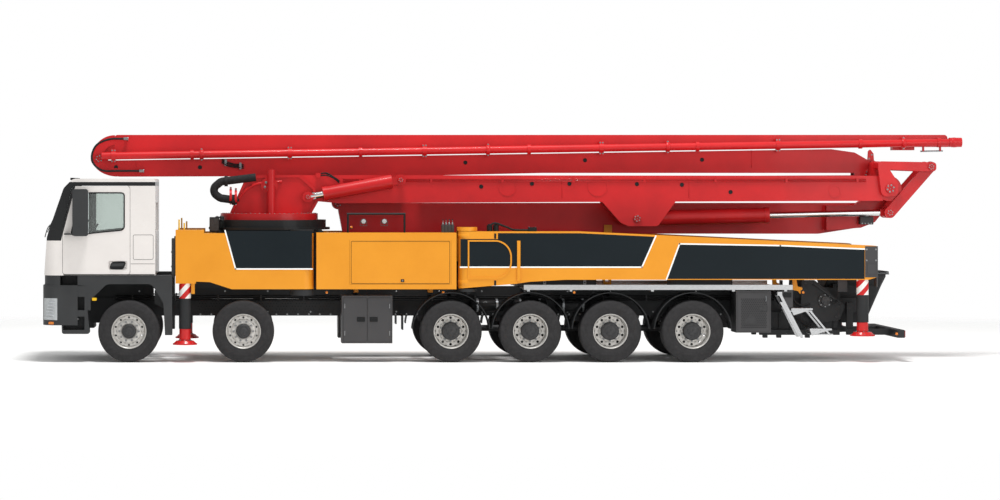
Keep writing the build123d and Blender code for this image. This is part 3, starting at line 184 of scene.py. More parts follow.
rimSilver = bareMetal("wheel_lacquer_silver_sprayed", "#C9C7C3", "#B4B1AC", (0.38, 0.5), 60)
rimSilver.node_tree.nodes["Principled BSDF"].inputs["Metallic"].default_value = 0.55
hardChrome = bareMetal("piston_rod_hard_chrome_ground", "#D9D9D8", "#C4C4C3", (0.12, 0.2), 30, (1, 8, 8))
railAluminium = bareMetal("aluminium_mill_finish_extruded", "#C4C5C6", "#A9AAAB", (0.35, 0.45), 50, (1, 12, 12))
zincSteel = bareMetal("steel_galvanised_dipped", "#A8ABAD", "#84888B", (0.4, 0.6), 25)
boltSteel = bareMetal("bolt_steel_zinc_plated", "#9C9D9E", "#77797B", (0.35, 0.5), 12)
darkSteel = bareMetal("hub_casting_steel_painted", "#3C3C3D", "#2E2E2F", (0.5, 0.65), 40)
darkSteel.node_tree.nodes["Principled BSDF"].inputs["Metallic"].default_value = 0.35
mirrorSilver = bareMetal("mirror_glass_silvered", "#DADDE0", "#D2D5D8", (0.04, 0.06), 200)


def seeThrough(name, colour, roughness, transmission, ior):
    material, tree, shader, place = startMaterial(name, colour, roughness, ior=ior)
    shader.inputs["Transmission Weight"].default_value = transmission
    grain(tree, shader, place, 120, 0.2, 0.05)
    return material


# slight green tint, seats show through
screenGlass = seeThrough("laminated_glass_floated", "#DDE5E1", 0.02, 0.93, 1.52)
clearLens = seeThrough("polycarbonate_lens_clear_moulded", "#E4E8EA", 0.12, 0.5, 1.58)
amberLens = seeThrough("polycarbonate_lens_amber_moulded", "#F08A1C", 0.15, 0.35, 1.58)
redLens = seeThrough("polycarbonate_lens_red_moulded", "#B8161A", 0.15, 0.3, 1.58)
print("materials ready")


def give(nodes, material):
    # a CAD node keeps its mesh and takes this finish
    for node in nodes:
        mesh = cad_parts[node].data
        mesh.materials.clear()
        mesh.materials.append(material)
        for polygon in mesh.polygons:
            polygon.material_index = 0


def splitFaces(node, materials, choose):
    # choose(centre, normal) says which of the materials a face of the CAD node takes
    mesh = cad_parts[node].data
    mesh.materials.clear()
    for material in materials:
        mesh.materials.append(material)
    for polygon in mesh.polygons:
        polygon.material_index = choose(polygon.center, polygon.normal)


both = ("left", "right")
give(["boom_arm_%d" % k for k in range(1, 6)], boomRed)
give(["turret", "lift_barrels", "fold_barrel", "fold_link"], turretRed)
give(["lift_rods", "fold_rod"], hardChrome)
give([base + side for base in ("front_outrigger_", "rear_outrigger_", "toolbox_door_") for side in both], armAmber)
give(["toolboxes"], armAmber)
give(["chassis_frame", "engine_block", "pump_unit", "hopper", "deck_tanks", "support_frame", "underrun_bar"],
     frameGrey)
give(["axle_beams"] + ["knuckle_%d_%s" % (k, side) for k in (1, 2) for side in both], darkSteel)
give(["cab_shell"] + ["cab_door_" + side for side in both], cabWhite)
give(["cab_glass"] + ["door_glass_" + side for side in both], screenGlass)
give(["bumper_and_grille", "cab_steps_and_fenders"], cabPlastic)
give(["mudguards"], guardBlack)
give(["lamps"], clearLens)
give(["lower_boxes"], boxGrey)
give(["deck_and_ladders"], railAluminium)
give(["hopper_grate"], zincSteel)
give(["boom_rest"], armAmber)
give(["front_leg_" + side for side in both] + ["rear_leg_" + side for side in both], legRed)


def addFace(mesh, corners, slot, smooth=False):
    try:
        face = mesh.faces.new(corners)
    except ValueError:
        return None
    face.material_index = slot
    face.smooth = smooth
    return face


def addPrism(mesh, outline, y0, y1, slot=0, plane="xz"):
    # closed outline pushed through from y0 to y1
    def at(a, b, c):
        return (a, c, b) if plane == "xz" else (c, a, b)
    near = [mesh.verts.new(at(a, b, y0)) for a, b in outline]
    far = [mesh.verts.new(at(a, b, y1)) for a, b in outline]
    addFace(mesh, near, slot)
    addFace(mesh, far[::-1], slot)
    count = len(outline)
    for i in range(count):
        j = (i + 1) % count
        addFace(mesh, (near[j], near[i], far[i], far[j]), slot)


def rounded(corners, steps=5):
    # outline with round corners: each corner is (a, b) or (a, b, radius)
    made = []
    count = len(corners)
    for i, corner in enumerate(corners):
        here = Vector(corner[:2])
        radius = corner[2] if len(corner) > 2 else 0
        if not radius:
            made.append(tuple(here))
            continue
        before = (Vector(corners[i - 1][:2]) - here)
        after = (Vector(corners[(i + 1) % count][:2]) - here)
        half = before.angle(after) / 2
        reach = min(radius / math.tan(half), before.length * 0.49, after.length * 0.49)
        start, end = here + before.normalized() * reach, here + after.normalized() * reach
        for k in range(steps + 1):
            t = k / steps
            made.append(tuple((1 - t) ** 2 * start + 2 * t * (1 - t) * here + t * t * end))
    return made


def about(middle, half):
    # low and high end of a span, from its middle
    return middle - half, middle + half


def sideSpan(side, near, far):
    # span on one side of the truck, low end first
    return tuple(sorted((side * near, side * far)))


def roundedPanel(x0, x1, z0, z1, radius, steps=4):
    # rectangle of the side view with round corners
    return rounded([(x0, z0, radius), (x1, z0, radius), (x1, z1, radius), (x0, z1, radius)], steps)


def addBlock(mesh, x, y, z, slot=0, corner=0.0):
    # block with rounded upright corners: x, y and z are (low, high)
    outline = [(x[0], z[0], corner), (x[1], z[0], corner), (x[1], z[1], corner), (x[0], z[1], corner)]
    addPrism(mesh, rounded(outline, 3) if corner else [c[:2] for c in outline], y[0], y[1], slot)


def addTurned(mesh, profile, centre, axis="y", steps=32, slot=0, closed=False, smooth=True):
    # profile of (along, radius) turned about an axis through the centre
    rings = []
    for along, radius in profile:
        ring = []
        for k in range(steps):
            a = 2 * math.pi * k / steps
            u, v = radius * math.cos(a), radius * math.sin(a)
            offset = {"y": (u, along, v), "x": (along, u, v), "z": (u, v, along)}[axis]
            ring.append(mesh.verts.new(Vector(centre) + Vector(offset)))
        rings.append(ring)
    pairs = list(zip(rings, rings[1:] + rings[:1])) if closed else list(zip(rings, rings[1:]))
    for a, b in pairs:
        for k in range(steps):
            n = (k + 1) % steps
            addFace(mesh, (a[k], a[n], b[n], b[k]), slot, smooth)
    if not closed:
        addFace(mesh, rings[0][::-1], slot)
        addFace(mesh, rings[-1], slot)


def smoothPath(points, steps=6):
    # Catmull-Rom curve through the points
    pts = [Vector(p) for p in points]
    ends = [2 * pts[0] - pts[1]] + pts + [2 * pts[-1] - pts[-2]]
    made = []
    for i in range(1, len(ends) - 2):
        a, b, c, d = ends[i - 1:i + 3]
        for k in range(steps):
            t = k / steps
            curve = 2 * b + (c - a) * t + (2 * a - 5 * b + 4 * c - d) * t ** 2 + (3 * b - a - 3 * c + d) * t ** 3
            made.append(0.5 * curve)
    return made + [pts[-1]]


def addTube(mesh, points, radius, slot=0, sides=10, bendSteps=6):
    path = smoothPath(points, bendSteps) if len(points) > 2 else [Vector(p) for p in points]
    side = None
    rings = []
    for i, point in enumerate(path):
        ahead = (path[min(i + 1, len(path) - 1)] - path[max(i - 1, 0)]).normalized()
        if side is None:
            side = ahead.orthogonal().normalized()
        side = (side - ahead * side.dot(ahead)).normalized()
        up = ahead.cross(side)
        rings.append([mesh.verts.new(point + radius * (math.cos(a) * side + math.sin(a) * up))
                      for a in (2 * math.pi * k / sides for k in range(sides))])
    for a, b in zip(rings, rings[1:]):
        for k in range(sides):
            n = (k + 1) % sides
            addFace(mesh, (a[k], a[n], b[n], b[k]), slot, True)
    addFace(mesh, rings[0][::-1], slot)
    addFace(mesh, rings[-1], slot)


def addBolt(mesh, centre, out, size=0.024, slot=0, axis="y"):
    # hexagon head on a washer, standing out along its axis by the sign of out
    high = size * 0.42
    addTurned(mesh, [(0, size * 0.72), (out * size * 0.1, size * 0.72)], centre, axis, 12, slot, smooth=False)
    addTurned(mesh, [(0, size * 0.52), (out * high * 0.8, size * 0.52), (out * high, size * 0.42)], centre, axis, 6,
              slot, smooth=False)


def addBoltRing(mesh, centre, radius, count, out, size, slot=0, axis="y", start=0.0):
    # bolts spaced evenly round a centre, from the angle start on
    for k in range(count):
        a = start + 2 * math.pi * k / count
        u, v = radius * math.cos(a), radius * math.sin(a)
        offset = (u, v, 0) if axis == "z" else (u, 0, v)
        addBolt(mesh, tuple(c + d for c, d in zip(centre, offset)), out, size, slot, axis)


def finishPiece(mesh, name, body, materials, bevel=0.0, replaces=()):
    bmesh.ops.recalc_face_normals(mesh, faces=mesh.faces)
    data = bpy.data.meshes.new(name)
    mesh.to_mesh(data)
    mesh.free()
    for material in materials:
        data.materials.append(material)
    piece = bpy.data.objects.new(name, data)
    bpy.context.scene.collection.objects.link(piece)
    if bevel:
        edge = piece.modifiers.new("softEdges", "BEVEL")
        edge.width = bevel
        edge.segments = 2
        edge.limit_method = "ANGLE"
        edge.angle_limit = math.radians(40)
        edge.harden_normals = False
    bpy.context.view_layer.update()
    if body:
        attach(piece, body)
    if replaces:
        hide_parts(*replaces)
    return piece


wheelSizes = {
    "outerRadius": 0.535, "halfWidth": 0.1925, "steps": 96,
    "grooves": (-0.108, -0.045, 0.045, 0.108), "grooveHalf": 0.006, "grooveDepth": 0.015,
    "discHoles": 10, "nuts": 10,
}


def buildTyre(mesh, size):
    half, outer = size["halfWidth"], size["outerRadius"]
    side = [(0.15, 0.29), (0.162, 0.3), (0.17, 0.312), (0.168, 0.322), (0.182, 0.345), (0.1835, 0.35), (0.184, 0.356),
            (0.191, 0.385), (half, 0.415), (0.19, 0.445), (0.188, 0.45), (0.1875, 0.456), (0.183, 0.485), (0.179, 0.5),
            (0.172, 0.517),
            (0.163, 0.527), (0.152, 0.531)]
    tread = []
    for g in size["grooves"]:
        h = size["grooveHalf"]
        crown = outer - 0.004 * (g / 0.15) ** 2
        tread += [(g - h, crown), (g - h * 0.5, crown - size["grooveDepth"]),
                  (g + h * 0.5, crown - size["grooveDepth"]), (g + h, crown)]
    profile = [(-y, r) for y, r in side] + tread + side[::-1] + [(0.15, 0.283), (-0.15, 0.283)]
    first = len(mesh.verts)
    addTurned(mesh, profile, (0, 0, 0), "y", size["steps"], 0, closed=True)
    mesh.verts.ensure_lookup_table()
    # shoulder blocks: every third point of the shoulder rings is drawn in a little
    steps = size["steps"]
    for row in (13, 14, 15, len(side) + len(tread) + 1, len(side) + len(tread) + 2, len(side) + len(tread) + 3):
        for k in range(0, steps, 3):
            vert = mesh.verts[first + row * steps + k]
            vert.co.x *= 0.989
            vert.co.z *= 0.989


def buildHoledRing(mesh, y, rIn, rOut, rHole, radius, count, slot, thick=0.012):
    # flat ring with round hand holes, made sector by sector from quads
    def at(r, a, back):
        return mesh.verts.new((r * math.cos(a), y + (thick if back else 0), r * math.sin(a)))
    points = 16
    for back in (False, True):
        for s in range(count):
            mid = 2 * math.pi * (s + 0.5) / count
            wide = math.pi / count
            outline, hole = [], []
            for k in range(points):
                a = 2 * math.pi * k / points + math.pi / points
                u, v = math.cos(a), math.sin(a)
                grow = 1 / max(abs(u), abs(v))
                outline.append(at((rIn + rOut) / 2 + (rOut - rIn) / 2 * u * grow, mid + wide * v * grow, back))
                hole.append(at(rHole + radius * u, mid + radius * v / rHole, back))
            for k in range(points):
                n = (k + 1) % points
                addFace(mesh, (outline[k], outline[n], hole[n], hole[k]), slot)
            if back:
                continue
            deep = [mesh.verts.new(v.co + Vector((0, thick, 0))) for v in hole]
            for k in range(points):
                n = (k + 1) % points
                addFace(mesh, (hole[k], hole[n], deep[n], deep[k]), slot, True)


def buildRim(mesh, size, dished):
    lip = [(-0.15, 0.301), (-0.164, 0.303), (-0.169, 0.298), (-0.167, 0.29), (-0.152, 0.282)]
    disc = -0.03 if dished else -0.112
    barrel = lip + [(disc - 0.03, 0.274), (disc, 0.266)] if dished else lip + [(-0.135, 0.27), (disc, 0.262)]
    barrel += [(disc + 0.014, 0.262), (0.1, 0.262), (0.15, 0.28), (0.165, 0.29), (0.166, 0.3), (0.15, 0.302),
               (0.09, 0.276), (-0.09, 0.284)]
    addTurned(mesh, barrel, (0, 0, 0), "y", 64, 1, closed=True)
    ringIn = 0.196 if dished else 0.212
    buildHoledRing(mesh, disc, ringIn, 0.264, 0.229 if dished else 0.238, 0.023 if dished else 0.018,
                   size["discHoles"], 1)
    face = disc - (0.0 if dished else 0.012)
    addTurned(mesh, [(disc + 0.014, ringIn + 0.001), (disc, ringIn + 0.001), (face, ringIn - 0.012),
                     (face - 0.002, 0.15), (face - 0.002, 0.11),
                     (face + 0.02, 0.11), (face + 0.02, 0.15)], (0, 0, 0), "y", 64, 1, closed=True)
    if dished:
        hub = [(face, 0.158), (face - 0.075, 0.154), (face - 0.088, 0.145), (face - 0.092, 0.1), (face - 0.086, 0.092),
               (face - 0.1, 0.08),
               (face - 0.104, 0.03), (face - 0.104, 0.002)]
    else:
        hub = [(face, 0.122), (face - 0.04, 0.12), (face - 0.05, 0.112), (face - 0.052, 0.078), (face - 0.046, 0.07),
               (face - 0.058, 0.06),
               (face - 0.06, 0.02), (face - 0.06, 0.002)]
    addTurned(mesh, hub, (0, 0, 0), "y", 48, 2)
    nutRing = 0.174 if dished else 0.168
    for k in range(size["nuts"]):
        a = 2 * math.pi * (k + (0.5 if dished else 0.0)) / size["nuts"]
        at = (nutRing * math.cos(a), face - 0.002, nutRing * math.sin(a))
        addTurned(mesh, [(0, 0.026), (-0.004, 0.025), (-0.006, 0.022)], at, "y", 16, 1)
        addTurned(mesh, [(-0.004, 0.018), (-0.024, 0.018), (-0.028, 0.014)], at, "y", 6, 3, smooth=False)
        addTurned(mesh, [(-0.024, 0.01), (-0.036, 0.01)], at, "y", 8, 3)
    capRadius, capFace = (0.122, face - 0.091) if dished else (0.094, face - 0.051)
    addBoltRing(mesh, (0, capFace, 0), capRadius, 8, -1, 0.014, 2, start=math.pi / 8)


def buildWheels(size):
    for dished in (False, True):
        mesh = bmesh.new()
        buildTyre(mesh, size)
        buildRim(mesh, size, dished)
        bmesh.ops.recalc_face_normals(mesh, faces=mesh.faces)
        data = bpy.data.meshes.new("wheelDished" if dished else "wheelFlat")
        mesh.to_mesh(data)
        mesh.free()
        for material in (tyreRubber, rimSilver, darkSteel, boltSteel):
            data.materials.append(material)
        for axle in ((3, 4, 5, 6) if dished else (1, 2)):
            for side, sign in sides:
                node = "wheel_%d_%s" % (axle, side)
                low, high = (Vector(c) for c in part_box(node))
                piece = bpy.data.objects.new("road_" + node, data)
                bpy.context.scene.collection.objects.link(piece)
                piece.location = (low + high) / 2
                piece.rotation_euler = (0, 0, math.pi if sign > 0 else 0)
                bpy.context.view_layer.update()
                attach(piece, node)
                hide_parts(node)


buildWheels(wheelSizes)
print("wheels ready")


panelLook = {
    "faceY": 1.248, "film": 0.0016, "line": 0.024,
    "frontPanel": [(-4.975, 2.272), (-3.475, 2.272), (-3.475, 1.612), (-4.795, 1.612)],
    "rearPanel": [(-0.915, 1.655), (2.215, 1.655), (2.43, 2.168), (1.15, 2.228), (-0.27, 2.23), (-0.27, 2.128),
                  (-0.915, 2.128)],
    "tailPanel": [(2.64, 1.44), (6.055, 1.44), (6.055, 1.955), (4.6, 2.015), (2.862, 2.045)],
}


def addLine(mesh, a, b, wide, y0, y1, slot):
    # straight band between two points of the side view
    run = (Vector(b) - Vector(a)).normalized() * wide / 2
    up = Vector((-run.y, run.x))
    a, b = Vector(a) - run, Vector(b) + run
    addPrism(mesh, [tuple(a - up), tuple(b - up), tuple(b + up), tuple(a + up)], y0, y1, slot)


def addWrap(mesh, centre, radius, low, high, pitch, lean, slots, steps=48):
    # slanting bands round a tube, alternately of two colours
    count = int((high - low) / pitch) + 4
    def level(k, band):
        slope = lean * radius * math.cos(2 * math.pi * k / steps)
        return min(max(low + (band - 1) * pitch + slope, low), high)
    for k in range(steps):
        for band in range(count):
            zs = [level(k, band), level(k + 1, band), level(k + 1, band + 1), level(k, band + 1)]
            if zs[3] - zs[0] < 1e-5 and zs[2] - zs[1] < 1e-5:
                continue
            corners = []
            for j, z in zip((k, k + 1, k + 1, k), zs):
                a = 2 * math.pi * j / steps
                corners.append(mesh.verts.new((centre[0] + radius * math.cos(a), centre[1] + radius * math.sin(a), z)))
            addFace(mesh, corners, slots[band % 2], True)
    bmesh.ops.remove_doubles(mesh, verts=mesh.verts, dist=1e-6)


def buildPanels(look):
    y0, film, line = look["faceY"], look["film"], look["line"]
    for side, sign in sides:
        mesh = bmesh.new()
        near, top = sign * (y0 - 0.001), sign * (y0 + film)
        over = sign * (y0 + 2 * film)
        front = look["frontPanel"]
        addPrism(mesh, front, near, top, 0)
        for a, b in ((0, 3), (3, 2)):
            addLine(mesh, front[a], front[b], line, near, over, 1)
        finishPiece(mesh, "front_panel_film_" + side, "front_outrigger_" + side, [panelNight, filmWhite])
        mesh = bmesh.new()
        rear, tail = look["rearPanel"], look["tailPanel"]
        addPrism(mesh, rear, near, top, 0)
        addLine(mesh, (rear[0][0], 1.643), (rear[1][0], 1.643), line, near, over, 1)
        addLine(mesh, (rear[1][0], 1.645), (2.452, 2.178), line, near, over, 1)
        addPrism(mesh, tail, near, top, 0)
        for a, b in ((0, 4), (4, 3), (3, 2)):
            addLine(mesh, tail[a], tail[b], line, near, over, 1)
        finishPiece(mesh, "rear_panel_film_" + side, "rear_outrigger_" + side, [panelNight, filmWhite])
        # grey end cap of the rear arm with its latch plate and bolts
        mesh = bmesh.new()
        low, high = sorted((sign * 0.93, sign * (y0 + 0.004)))
        addBlock(mesh, (6.062, 6.284), (low, high), (1.466, 2.004), 0)
        addBlock(mesh, (6.1, 6.25), (sign * (y0 + 0.003), sign * (y0 + 0.012)), (1.52, 1.7), 0, 0.02)
        addBlock(mesh, (6.272, 6.296), (sign * 0.98, sign * 1.2), (1.3, 1.62), 0, 0.01)
        for x in (6.09, 6.25):
            for z in (1.76, 1.95):
                addBolt(mesh, (x, sign * (y0 + 0.004), z), sign, 0.022, 1)
        finishPiece(mesh, "rear_arm_cap_" + side, "rear_outrigger_" + side, [boxGrey, boltSteel],
                    0.003)


# jack legs: place along and across, and the heights of sleeve foot, stripe foot and stripe top
legLook = {
    "front": (-5.67, 1.1, 0.575, 1.1, 1.39), "rear": (6.05, 1.092, 0.69, 1.16, 1.46),
    "wrapRadius": 0.1036, "stripePitch": 0.115, "stripeLean": 1.1, "footRibs": 8,
}


def buildLegs(look):
    for side, sign in sides:
        for body in ("front", "rear"):
            x, y, bottom, middle, top = look[body]
            mesh = bmesh.new()
            addWrap(mesh, (x, sign * y), look["wrapRadius"], middle, top, look["stripePitch"], look["stripeLean"],
                    (1, 0))
            sleeve = [(bottom, 0.1034), (bottom + 0.01, 0.1046), (middle - 0.01, 0.1046), (middle, 0.1034)]
            addTurned(mesh, sleeve, (x, sign * y, 0), "z", 48, 2)
            finishPiece(mesh, "%s_leg_stripes_%s" % (body, side), "%s_outrigger_%s" % (body, side),
                        [legRed, filmWhite, frameGrey])
            # foot: swivel ball housing and the ribbed dish plate
            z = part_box("%s_leg_%s" % (body, side))[0][2]
            mesh = bmesh.new()
            addTurned(mesh, [(z + 0.07, 0.088), (z + 0.085, 0.1), (z + 0.12, 0.1), (z + 0.135, 0.088)],
                      (x, sign * y, 0), "z", 32, 0)
            for k in range(look["footRibs"]):
                a = 2 * math.pi * k / look["footRibs"]
                rib = [(0.098, 0.03), (0.195, 0.014), (0.195, 0.03), (0.098, 0.09)]
                corners = [Vector((math.cos(a) * r, math.sin(a) * r, h)) for r, h in rib]
                across = Vector((-math.sin(a), math.cos(a), 0)) * 0.004
                base = Vector((x, sign * y, z))
                one = [mesh.verts.new(base + c - across) for c in corners]
                two = [mesh.verts.new(base + c + across) for c in corners]
                addFace(mesh, one, 1)
                addFace(mesh, two[::-1], 1)
                for i in range(4):
                    addFace(mesh, (one[i - 1], one[i], two[i], two[i - 1]), 1)
            finishPiece(mesh, "%s_foot_detail_%s" % (body, side), "%s_leg_%s" % (body, side), [legRed, zincSteel])


railLook = {
    "holePitch": 0.05, "holesInRow": 48, "holeRows": (0.835, 0.885, 0.935, 0.985, 1.025), "boltPitch": 0.19,
    "bolts": 60,
    "markStrips": ((-5.22, -4.49), (-4.28, -3.69), (-3.52, -2.98)), "sideLamps": (-3.22, -1.21, 1.05, 5.0),
}


def buildSideHardware():
    for side, sign in sides:
        # hinge sleeves of the rear arm: grease rings and bolts
        mesh = bmesh.new()
        for z0, z1 in ((2.135, 2.225), (1.315, 1.425)):
            addTurned(mesh, [(z0, 0.15), (z0 + 0.008, 0.1595), (z1 - 0.008, 0.1595), (z1, 0.15)],
                      (-0.79, sign * 1.0905, 0), "z", 40, 0)
        for x in (-0.86, -0.76):
            addTurned(mesh, [(2.258, 0.012), (2.3, 0.012), (2.304, 0.008)], (x, sign * 1.12, 0), "z", 12, 0)
        for z in (2.18, 1.37):
            addBlock(mesh, (-0.335, -0.3), (sign * 1.247, sign * 1.254), about(z, 0.045), 1, 0.01)
        finishPiece(mesh, "rear_hinge_detail_" + side, "rear_outrigger_" + side, [armAmber, trimBlack])
        # toolbox door: pressed border drawn as a dark line of painted shade in the door gap, lock and pull
        mesh = bmesh.new()
        y = sign * 1.2495
        border = roundedPanel(-2.8, -1.1, 1.36, 2.09, 0.02, 3)
        addTube(mesh, [(a, sign * 1.2485, b) for a, b in border + border[:1]], 0.0035, 2, 6, 1)
        addBlock(mesh, (-1.945, -1.885), (y, y + sign * 0.006), (1.385, 1.435), 0, 0.012)
        addTurned(mesh, [(0, 0.014), (sign * 0.01, 0.014), (sign * 0.012, 0.01)], (-1.915, y + sign * 0.005, 1.41),
                  "y", 16, 1)
        finishPiece(mesh, "toolbox_lock_" + side, "toolbox_door_" + side, [trimBlack, boltSteel, seamShadow])
        # chassis rail: punched hole rows drawn as dark discs of painted shade, and white conspicuity strips
        mesh = bmesh.new()
        y = sign * 0.4302
        for x0, x1 in railLook["markStrips"]:
            addBlock(mesh, (x0, x1), (y, y + sign * 0.0015), (1.066, 1.088), 1)
        pitch = railLook["holePitch"]
        for row, z in enumerate(railLook["holeRows"]):
            for k in range(railLook["holesInRow"]):
                x = -5.45 + pitch * k + (pitch / 2 if row % 2 else 0)
                if (k * 7 + row * 3) % 5:
                    addTurned(mesh, [(0, 0.0085), (sign * 0.001, 0.0085)], (x, y, z), "y", 8, 0, smooth=False)
        for k in range(railLook["bolts"]):
            x = -5.6 + railLook["boltPitch"] * k
            addBolt(mesh, (x, y, 0.795), sign, 0.022, 2)
        finishPiece(mesh, "rail_holes_" + side, "chassis", [seamShadow, filmWhite, boltSteel])
        # small round side lamps on brackets under the boxes
        mesh = bmesh.new()
        for x in railLook["sideLamps"]:
            addBlock(mesh, about(x, 0.035), (sign * 1.17, sign * 1.21), (1.19, 1.245), 0, 0.01)
            addTurned(mesh, [(0, 0.024), (sign * 0.016, 0.022), (sign * 0.02, 0.014)], (x, sign * 1.208, 1.205), "y",
                      16, 1)
        finishPiece(mesh, "side_lamps_" + side, "chassis", [trimBlack, amberLens])


def finishSpecial():
    # CAD nodes whose faces take two or more finishes
    for side in both:
        splitFaces("front_outrigger_" + side, (armAmber, markYellow), lambda c, n: int(c.z > 2.296))
    splitFaces("toolboxes", (armAmber, trimBlack), lambda c, n: int(c.z > 2.285))
    splitFaces("support_frame", (frameGrey, ringBlack, armAmber),
               lambda c, n: 1 if c.z > 2.289 and c.x < -2.9 else 2 if c.x > -1.2 and c.z > 1.7 and abs(c.y) > 0.64
               else 0)
    splitFaces("turret", (turretRed, hoseRubber),
               lambda c, n: int(c.x < -4.455 and -0.53 < c.y < -0.3 and c.z > 2.7))
    splitFaces("lamps", (clearLens, redLens), lambda c, n: int(c.x > 0))


# near-black finish laid on door gaps, body seams and punched holes: painted shade standing in for the shadow inside
# them
seamShadow = sprayedEnamel("seam_and_hole_painted_shadow", "#101112", "#0C0D0D", coat=0.0, roughness=(0.7, 0.8))
buildPanels(panelLook)
buildLegs(legLook)
buildSideHardware()
finishSpecial()
print("outriggers dressed")


cabLook = {
    "skinY": 1.2492, "doorY": 1.2495, "mirrorFrom": 1.256, "sealRadius": 0.013,
    "wipers": (-1.0, -0.28, 0.44), "seats": (-0.62, 0.62), "seatHalf": 0.25, "backHalf": 0.24, "headHalf": 0.13,
    "wheelCentre": (-7.33, -0.62, 2.19), "wheelRake": 35, "wheelRadius": 0.225, "headlampBars": 6,
    "pillarTop": (-7.555, 3.05), "pillarFoot": (-7.8, 2.12), "cowlZ": 2.1, "bandLow": 3.045, "bandHigh": 3.112,
    "doorGlass": [(-7.64, 2.185, 0.06), (-7.47, 2.925, 0.09), (-6.715, 2.925, 0.06), (-6.715, 2.285, 0.08),
                  (-7.18, 2.24)],
}


def twoToneCab(look):
    # white enamel with the black windscreen surround and roof band of the pressing
    material = cabWhite.copy()
    material.name = "cab_enamel_white_with_black_surround"
    tree = material.node_tree
    shader = tree.nodes["Principled BSDF"]
    base = shader.inputs["Base Color"].links[0].from_socket
    place = next(n for n in tree.nodes if n.bl_idname == "ShaderNodeTexCoord").outputs["Object"]
    split = addNode(tree, "ShaderNodeSeparateXYZ", None, {0: place})
    x, z = split.outputs["X"], split.outputs["Z"]
    (x1, z1), (x0, z0) = look["pillarTop"], look["pillarFoot"]
    slope = (x1 - x0) / (z1 - z0)
    edge = addNode(tree, "ShaderNodeMath", {"operation": "MULTIPLY_ADD", 1: slope, 2: x0 - slope * z0}, {0: z})
    ahead = addNode(tree, "ShaderNodeMath", {"operation": "LESS_THAN"}, {0: x, 1: edge.outputs[0]})
    above = addNode(tree, "ShaderNodeMath", {"operation": "GREATER_THAN", 1: look["cowlZ"]}, {0: z})
    below = addNode(tree, "ShaderNodeMath", {"operation": "LESS_THAN", 1: look["bandHigh"]}, {0: z})
    band = addNode(tree, "ShaderNodeMath", {"operation": "GREATER_THAN", 1: look["bandLow"]}, {0: z})
    pillar = addNode(tree, "ShaderNodeMath", {"operation": "MULTIPLY"}, {0: ahead.outputs[0], 1: above.outputs[0]})
    either = addNode(tree, "ShaderNodeMath", {"operation": "MAXIMUM"}, {0: pillar.outputs[0], 1: band.outputs[0]})
    dark = addNode(tree, "ShaderNodeMath", {"operation": "MULTIPLY"}, {0: either.outputs[0], 1: below.outputs[0]})
    mix = addNode(tree, "ShaderNodeMix", {"data_type": "RGBA", 7: hexColour("#1B1C1D")}, {0: dark.outputs[0], 6: base})
    tree.links.new(mix.outputs[2], shader.inputs["Base Color"])
    return material


def closedTube(mesh, outline, y, radius, slot, sides=8):
    # rubber profile laid round a closed outline of the side view
    points = [Vector((a, y, b)) for a, b in outline]
    rings = []
    for i, point in enumerate(points):
        ahead = (points[(i + 1) % len(points)] - points[i - 1]).normalized()
        across = Vector((0, 1, 0))
        up = ahead.cross(across)
        rings.append([mesh.verts.new(point + radius * (math.cos(a) * across + math.sin(a) * up))
                      for a in (2 * math.pi * k / sides for k in range(sides))])
    for i in range(len(rings)):
        a, b = rings[i], rings[(i + 1) % len(rings)]
        for k in range(sides):
            n = (k + 1) % sides
            addFace(mesh, (a[k], a[n], b[n], b[k]), slot, True)


def buildCabOutside(look):
    twoTone = twoToneCab(look)
    give(["cab_shell"], twoTone)
    for side in both:
        # the mirror housings stand out past the door skin
        splitFaces("cab_door_" + side, (twoTone, cabPlastic), lambda centre, normal: 1
                   if abs(centre[1]) > look["mirrorFrom"] else 0)
    for side, sign in sides:
        mesh = bmesh.new()
        y, skin = sign * look["doorY"], sign * look["skinY"]
        closedTube(mesh, rounded(look["doorGlass"], 6), y - sign * 0.002, look["sealRadius"], 0)
        # handle: dished black plate with a bar across it
        plate = rounded([(-6.985, 1.605, 0.06), (-6.735, 1.6, 0.06), (-6.665, 1.745, 0.05), (-6.93, 1.735, 0.06)], 5)
        addPrism(mesh, plate, y, y + sign * 0.006, 0)
        grip = rounded([(-6.955, 1.655, 0.02), (-6.74, 1.66, 0.02), (-6.7, 1.715, 0.02), (-6.93, 1.705, 0.02)], 4)
        addPrism(mesh, grip, y + sign * 0.005, y + sign * 0.03, 1)
        addTurned(mesh, [(0, 0.011), (sign * 0.008, 0.011)], (-6.7, y + sign * 0.004, 1.63), "y", 14, 2)
        finishPiece(mesh, "door_trim_" + side, "cab_door_" + side, [trimBlack, cabPlastic, boltSteel],
                    0.002)
        # hatch and side seams drawn as dark lines of painted shade, and the sill strip of the body side
        mesh = bmesh.new()
        frameLine = roundedPanel(-6.56, -6.215, 1.775, 2.2, 0.03)
        closedTube(mesh, frameLine, skin, 0.0035, 0, 6)
        addLine(mesh, (-6.6, 1.7), (-6.19, 1.7), 0.006, skin, sign * 1.2512, 0)
        addBlock(mesh, (-7.76, -6.19), (skin, sign * 1.256), (1.502, 1.52), 1)
        finishPiece(mesh, "cab_side_seams_" + side, "chassis", [seamShadow, trimBlack])
        # side marker on the wheel arch
        mesh = bmesh.new()
        addBlock(mesh, (-7.27, -7.19), (y, y + sign * 0.0085), (1.065, 1.115), 0, 0.012)
        finishPiece(mesh, "arch_marker_" + side, "chassis", [markYellow], 0.002)


